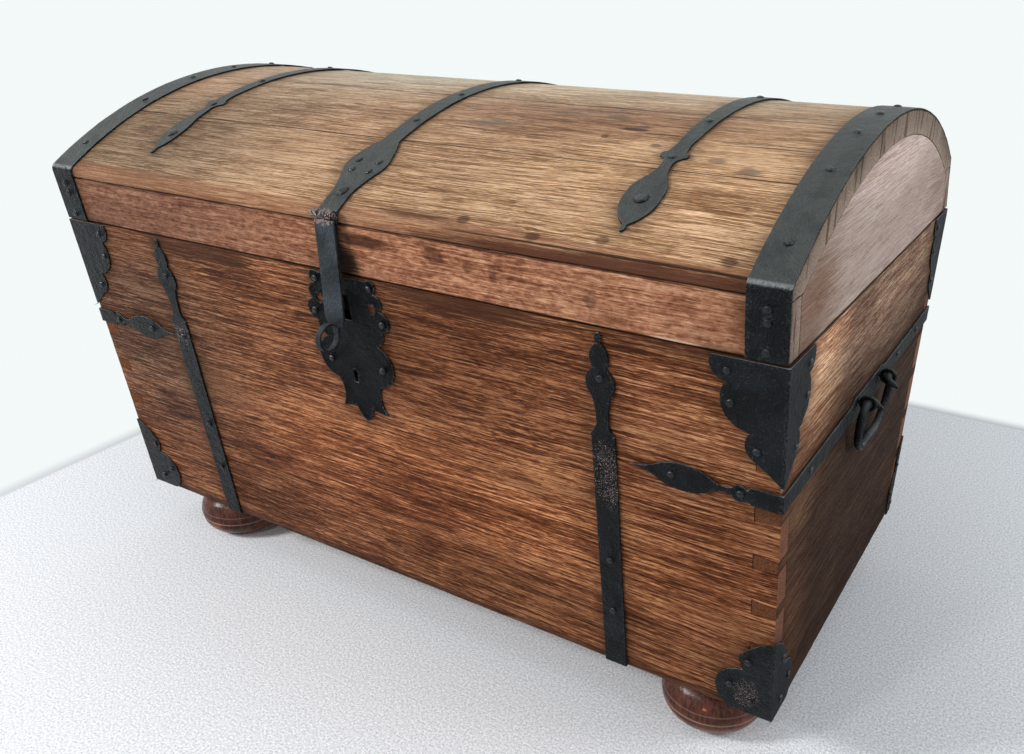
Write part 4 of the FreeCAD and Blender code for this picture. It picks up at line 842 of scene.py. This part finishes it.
for i in range(5):
    shift = (0.7 * i, 0.37 * i + 0.1, 1.1 * i)  # another part of the pattern for each stave
    marks = nose_marks if i == 0 else dome_marks
    stave_oaks.append(oak(f"oak_stave_{i + 1}", 0, shift, dome_tones, ripple=0.8, dark=0.45, marks=marks,
                          tints=dome_tints_with_sheen, seam=0.85, fine=1.35))
print("finishes", len(bpy.data.materials))

# %% [markdown]
# ## The boards
#
# Iron stains oak black where damp lies between them. The finish needs to know how near each point
# of a board is to iron, so each vertex of a board gets a number that falls from 1 at the iron's edge
# to 0 a few centimetres away. It is worked out from arrays of the forged pieces' vertices.

# %% Distance from the iron
thinned_to = 0.007  # one point is kept in each cube of this size
iron_points = np.concatenate([vertex_array(piece.data) for piece in forged.values()])
_, first = np.unique(np.round(iron_points / thinned_to).astype(int), axis=0, return_index=True)
iron_points = iron_points[first]
print("iron points", len(iron_points))


def nearness_to_iron(places, reach=0.012):
    """exp(-d / reach), where d is the distance to the nearest iron point."""
    return np.exp(-nearest(places, iron_points) / reach)


# %% Wear the boards
joint_bevel, plain_bevel, rail_bevel = 0.0004, 0.0012, 0.0016  # tight where boards meet
board_wear = 0.0012
board_cells = (0.012, 0.012, 0.012)
board_table = {}
for names, finish, bevel, cells in (
    (("front_board",), front_oak, joint_bevel, board_cells),
    (("back_board",), back_oak, joint_bevel, board_cells),
    (("left_side_board", "right_side_board"), side_oak, joint_bevel, board_cells),
    (("bottom_board_1", "bottom_board_2", "bottom_board_3"), bottom_oak, plain_bevel, (0.03, 0.03, 0)),
    (("lid_front_rail",), rail_oak, rail_bevel, (0.010, 0.010, 0.010)),
    (("lid_back_rail",), rail_oak, rail_bevel, board_cells),
    (("lid_gable_left", "lid_gable_right"), gable_oak, plain_bevel, (0, 0.012, 0.012)),
):
    board_table.update({name: (finish, bevel, cells) for name in names})
for i, finish in enumerate(stave_oaks):
    board_table[f"lid_stave_{i + 1}"] = (finish, joint_bevel, (0.010, 0.010, 0.004 if i == 0 else 0))

boards = {}
planed = [(0.07, 0.0003), (0.02, 0.00015)]
# Boxes (low, high, radius) around the long edges that hands have rounded.
nose = [((-1, -0.39, 0.665), (1, -0.37, 0.68), 0.0065), ((-1, -0.39, 0.655), (1, -0.37, 0.6615), 0.003)]
lip_of_rail = [((-1, -0.375, 0.585), (1, -0.36, 0.592), 0.0028)]
rim = [((-1, -0.375, 0.587), (1, -0.36, 0.592), 0.0018)]
rounded_edges = {"lid_stave_1": nose, "lid_front_rail": lip_of_rail, "front_board": rim}
for node, (finish, bevel, cells) in board_table.items():
    rounded = rounded_edges.get(node, ())
    boards[node] = worn_piece(node, "oak_", bevel, cells, planed, board_wear, finish, rounded)
    store(boards[node].data, "near_iron", nearness_to_iron(vertex_array(boards[node].data)))
print("boards", len(boards), "with", sum(len(b.data.polygons) for b in boards.values()), "faces")

# %% [markdown]
# ## Nail heads
#
# A hand-made nail has a low head with a few hammer facets, never a perfect dome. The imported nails
# say where each one is. A welded nail is a solid of revolution, so of the three principal widths of
# its points two are equal, and the odd one out is its axis. The head is the wider end.


# %% Find every nail in a group
def islands(mesh):
    """A number for each vertex, the same for all that hang together: each edge hands the lower of its
    two numbers to both ends, until nothing changes."""
    edges = np.empty(len(mesh.edges) * 2, np.int32)
    mesh.edges.foreach_get("vertices", edges)
    a, b = edges.reshape(-1, 2).T
    labels = np.arange(len(mesh.vertices))
    while True:
        low = np.minimum(labels[a], labels[b])
        after = labels.copy()
        np.minimum.at(after, a, low)
        np.minimum.at(after, b, low)
        if (after == labels).all():
            return labels
        labels = after


nail_weld_distance = 0.00002


def measured_nails(node):
    """Rows of (middle of the head's base, outward axis, radius, height), one for each nail."""
    mesh = bpy.data.meshes.new("nails_welded")
    work = bmesh.new()
    work.from_mesh(nodes[node].data)
    bmesh.ops.remove_doubles(work, verts=work.verts, dist=nail_weld_distance)
    work.to_mesh(mesh)
    work.free()
    places, labels, rows = vertex_array(mesh), islands(mesh), []
    for label in np.unique(labels):
        points = places[labels == label]
        middle = points.mean(0)
        widths, directions = np.linalg.eigh(np.cov((points - middle).T))
        odd = 0 if widths[1] * 2 > widths[0] + widths[2] else 2
        axis = directions[:, odd]
        along = (points - middle) @ axis
        radius = np.linalg.norm(points - middle - along[:, None] * axis, axis=1)
        if along[radius.argmax()] < 0:
            axis, along = -axis, -along
        rim = along[radius > radius.max() * 0.97]
        centre = middle + axis * rim.min()
        rows.append((*centre, *axis, radius.max(), along.max() - rim.min()))
    bpy.data.meshes.remove(mesh)
    return np.array(rows)


# %% Faces on rings
def quads_between(rings, around, corners):
    """Quads between neighbours of `rings` + 1 rings of points. `corners` says in which order each quad
    goes round its four points, as pairs of (rings on, places on)."""
    k, j = np.meshgrid(np.arange(rings), np.arange(around), indexing="ij")
    return np.stack([(k + up) * around + (j + on) % around for up, on in corners], -1).reshape(-1, 4)


def fan(start, around, tip, turned=False):
    """Triangles that join each side of the ring beginning at point `start` to the tip."""
    j = start + np.arange(around)
    after = start + (np.arange(around) + 1) % around
    first, second = (after, j) if turned else (j, after)
    return np.stack([first, second, np.full(around, tip)], 1)


print("a ring of 4 closes with", fan(0, 4, 4).tolist())


# %% Hammer the heads
head_rings, head_sides = 4, 14


def nail_heads(rows, seed, rings=head_rings, around=head_sides):
    """Points on every head at once. The rings' angles run from a fifth of 90 degrees to all of it: the
    radius is R sin(a) and the height H cos(a), flattened on top, and both are spoilt by noise. A last
    ring goes under the rim and closes the head."""
    random = np.random.default_rng(seed)
    turn = np.linspace(0, 2 * np.pi, around, endpoint=False)
    share = np.linspace(0.22, 1.0, rings) * np.pi / 2
    out = np.append(np.sin(share), [0.96])
    up = np.append(np.cos(share) ** 0.8, [-0.25])
    axis, radius, height = rows[:, 3:6], rows[:, 6], rows[:, 7]
    side = np.cross(axis, np.where(np.abs(axis[:, :1]) < 0.8, [[1.0, 0, 0]], [[0, 1.0, 0]]))
    side /= np.linalg.norm(side, axis=1)[:, None]
    third = np.cross(axis, side)
    above = (up > 0)[None, :, None]
    lumps = (1 - 0.10 * random.random((len(rows), 1, around))
             - 0.03 * random.random((len(rows), len(out), around)))
    dip = 1 - 0.16 * random.random((len(rows), len(out), around)) * above
    tilt = random.uniform(-0.12, 0.12, (len(rows), 2))
    flat = radius[:, None, None] * out[None, :, None] * lumps
    a, b = flat * np.cos(turn), flat * np.sin(turn)
    h = height[:, None, None] * (up[None, :, None] * dip * 0.96)
    h = h + (a * tilt[:, :1, None] + b * tilt[:, 1:, None]) * above
    grid = rows[:, None, None, :3]
    for far, way in ((a, side), (b, third), (h, axis)):
        grid = grid + far[..., None] * way[:, None, None]
    top = rows[:, :3] + axis * (height * 0.93)[:, None]
    bottom = rows[:, :3] - axis * (height * 0.25)[:, None]
    return np.concatenate([grid.reshape(len(rows), -1, 3), top[:, None], bottom[:, None]], 1)


def head_faces(count, rings=head_rings, around=head_sides):
    """Quads between the rings of one head and fans at its top and bottom, repeated for every head."""
    last, size = rings * around, (rings + 1) * around + 2
    quads = quads_between(rings, around, ((0, 0), (1, 0), (1, 1), (0, 1)))
    fans = (fan(0, around, size - 2), fan(last, around, size - 1, turned=True))
    starts = np.arange(count)[:, None, None] * size
    faces = (quads + starts).reshape(-1, 4).tolist()
    for one in fans:
        faces += (one + starts).reshape(-1, 3).tolist()
    return faces


nail_finish = black_iron("black_nail_iron", gloss=0.12, dust_and_sheen_amount=0.5, hammered=0.35, sheen=0.28)
for seed, node in enumerate(("front_nails", "back_nails", "end_nails", "lid_nails")):
    rows = measured_nails(node)
    points = nail_heads(rows, seed)
    mesh = bpy.data.meshes.new("heads_" + node)
    mesh.from_pydata(points.reshape(-1, 3).tolist(), [], head_faces(len(rows)))
    store(mesh, "corner", np.zeros(len(mesh.vertices)))
    piece = piece_of(mesh, "heads_" + node, nail_finish, 48)
    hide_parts(node)
    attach(piece, nodes[node]["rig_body"])
    print(node, len(rows), "radius", rows[:, 6].max().round(4), "height", rows[:, 7].max().round(4))

# %% [markdown]
# ## Bun feet
#
# The feet are turned on a lathe, so one profile carried round an axis makes them. The profile is a
# smooth line through a few radii, with a scribed groove below the belly, a faint one above it and one
# near the top, and the turning wanders a little because old wood shrinks out of round.


# %% A turned foot
foot_rings, foot_sides, foot_height, belly_radius = 130, 128, 0.086, 0.071
grooves = ((0.034, 0.0012, 0.0015), (0.0475, 0.0008, 0.0006), (0.0735, 0.001, 0.001))  # height, width, depth


def foot_profile(levels):
    """Radius at each height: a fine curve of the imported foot's own radii, less narrow scribed grooves."""
    heights = np.array([0, 2, 8, 16, 26, 37, 41, 45, 56, 66, 73, 77, 79.5, 81.5, 86]) / 1000
    radii = np.array([39.5, 43, 53.5, 62, 68, 70.6, 71, 70.6, 68, 62.5, 55.5, 49, 46.3, 49.6, 50]) / 1000
    radius = np.interp(levels, heights, radii)
    smooth = np.convolve(np.pad(radius, 4, mode="edge"), np.ones(9) / 9, mode="valid")
    for height, width, depth in grooves:
        smooth = smooth - depth * np.exp(-((levels - height) / width) ** 2)
    return smooth.clip(0, belly_radius)


def turned_foot(node, seed, finish):
    """The profile carried round the foot's axis: (x, y) = axis + radius(z) * (cos t, sin t)."""
    low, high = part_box(node)
    axis = [(low[0] + high[0]) / 2, (low[1] + high[1]) / 2]
    levels = np.linspace(0, foot_height, foot_rings)
    turn = np.linspace(0, 2 * np.pi, foot_sides, endpoint=False)
    radius = foot_profile(levels)[:, None] * (1 - 0.006 * (1 + np.cos(2 * turn + seed))[None] / 2)
    grid = np.stack([axis[0] + radius * np.cos(turn), axis[1] + radius * np.sin(turn),
                     np.repeat(levels[:, None], foot_sides, 1)], -1)
    grid[..., 2] *= 1 - 1e-4  # a hair lower than the flat cap on top
    points = np.concatenate([grid.reshape(-1, 3), [[*axis, levels[-1]], [*axis, 0.0]]])
    points[:, :2] -= (points[:, :2] - axis) * 0.004 * (1 + wobble(points, 0.02, seed))[:, None]
    cap = foot_rings * foot_sides
    quads = quads_between(foot_rings - 1, foot_sides, ((0, 0), (0, 1), (1, 1), (1, 0)))
    top = fan(cap - foot_sides, foot_sides, cap)
    bottom = fan(0, foot_sides, cap + 1, turned=True)
    mesh = bpy.data.meshes.new("turned_" + node)
    mesh.from_pydata(points.tolist(), [], quads.tolist() + top.tolist() + bottom.tolist())
    piece = piece_of(mesh, "turned_" + node, finish, 60)
    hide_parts(node)
    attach(piece, "chest")
    return piece


# %% The turned oak finish
dark_brown, red_brown = (0.022, 0.006, 0.004), (0.095, 0.028, 0.017)
worn_warm, pale_groove, flaked = (0.26, 0.075, 0.026), (0.30, 0.19, 0.13), (0.42, 0.14, 0.045)


def turned_oak():
    """Dark red-brown polish over upright grain, paler in the scribed grooves and worn warmer low down."""
    f = new_finish("oak_turned")
    here = f.place()
    z = f.part(here, "Z")
    lines = f.noise(here, (260, 260, 22), 3, 0.6)
    clouds = f.noise(here, (26, 26, 34), 3, 0.6)
    colour = f.blend(f.rise(lines * 0.6 + clouds * 0.4, 0.38, 0.62), dark_brown, red_brown)
    colour = f.blend(f.rise(z, 0.045, 0.012) * f.rise(clouds, 0.4, 0.62) * 0.8, colour, worn_warm)
    belly, above_belly, near_top = (abs(z - height) for height, _, _ in grooves)
    faint = f.rise(above_belly, 0.0012, 0.0004).most(f.rise(near_top, 0.0012, 0.0005)) * 0.4
    colour = f.blend(f.rise(belly, 0.0018, 0.0007).most(faint) * 0.75, colour, pale_groove)
    colour = f.blend(f.rise(clouds, 0.68, 0.72) * 0.8, colour, flaked)
    return f.surface(bump=lines * 0.6 + clouds * 0.3, bump_depth=0.0007, Base_Color=colour,
                     Roughness=0.2 + clouds * 0.16, Specular_IOR_Level=0.2)


foot_finish = turned_oak()
for seed, node in enumerate(("foot_front_left", "foot_front_right", "foot_back_left", "foot_back_right")):
    foot = turned_foot(node, seed, foot_finish)
    print(foot.name, [round(v, 4) for v in foot.dimensions])

# %% [markdown]
# ## The lock's works
#
# The lock sits in a pocket behind its plate and is seen only through the keyhole and the slot for
# the staple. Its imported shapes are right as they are, so these nodes stay and only get a finish:
# filed steel, brown with old grease.


# %% Filed steel
def filed_steel():
    """Grey metal with fine file marks, browned in patches."""
    f = new_finish("filed_steel")
    here = f.place()
    marks = f.noise(here, (900, 300, 90), 2, 0.6)
    grease = f.noise(here, (60, 60, 60), 3, 0.6)
    colour = f.blend(f.rise(grease, 0.4, 0.65), (0.33, 0.32, 0.30), (0.13, 0.085, 0.055))
    return f.surface(bump=marks, bump_depth=0.0003, Base_Color=colour, Roughness=0.34 + grease * 0.3,
                     Metallic=0.9)


steel = filed_steel()
for node in ("lock_case", "lock_bolt", "lock_bolt_guides", "lock_bolt_spring", "lock_key_pin"):
    for place in range(len(nodes[node].data.materials)):
        nodes[node].data.materials[place] = steel
print("lock nodes finished")

# %% [markdown]
# ## Counting
#
# The dressed chest's shown pieces and their triangles are counted.

# %% Counts and the end
shown = [o for o in scene.objects if o.type == "MESH" and not o.hide_render and not o.get("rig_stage")]
triangles = sum(len(face.vertices) - 2 for o in shown for face in o.data.polygons)
print("pieces", len(shown), "triangles", triangles)
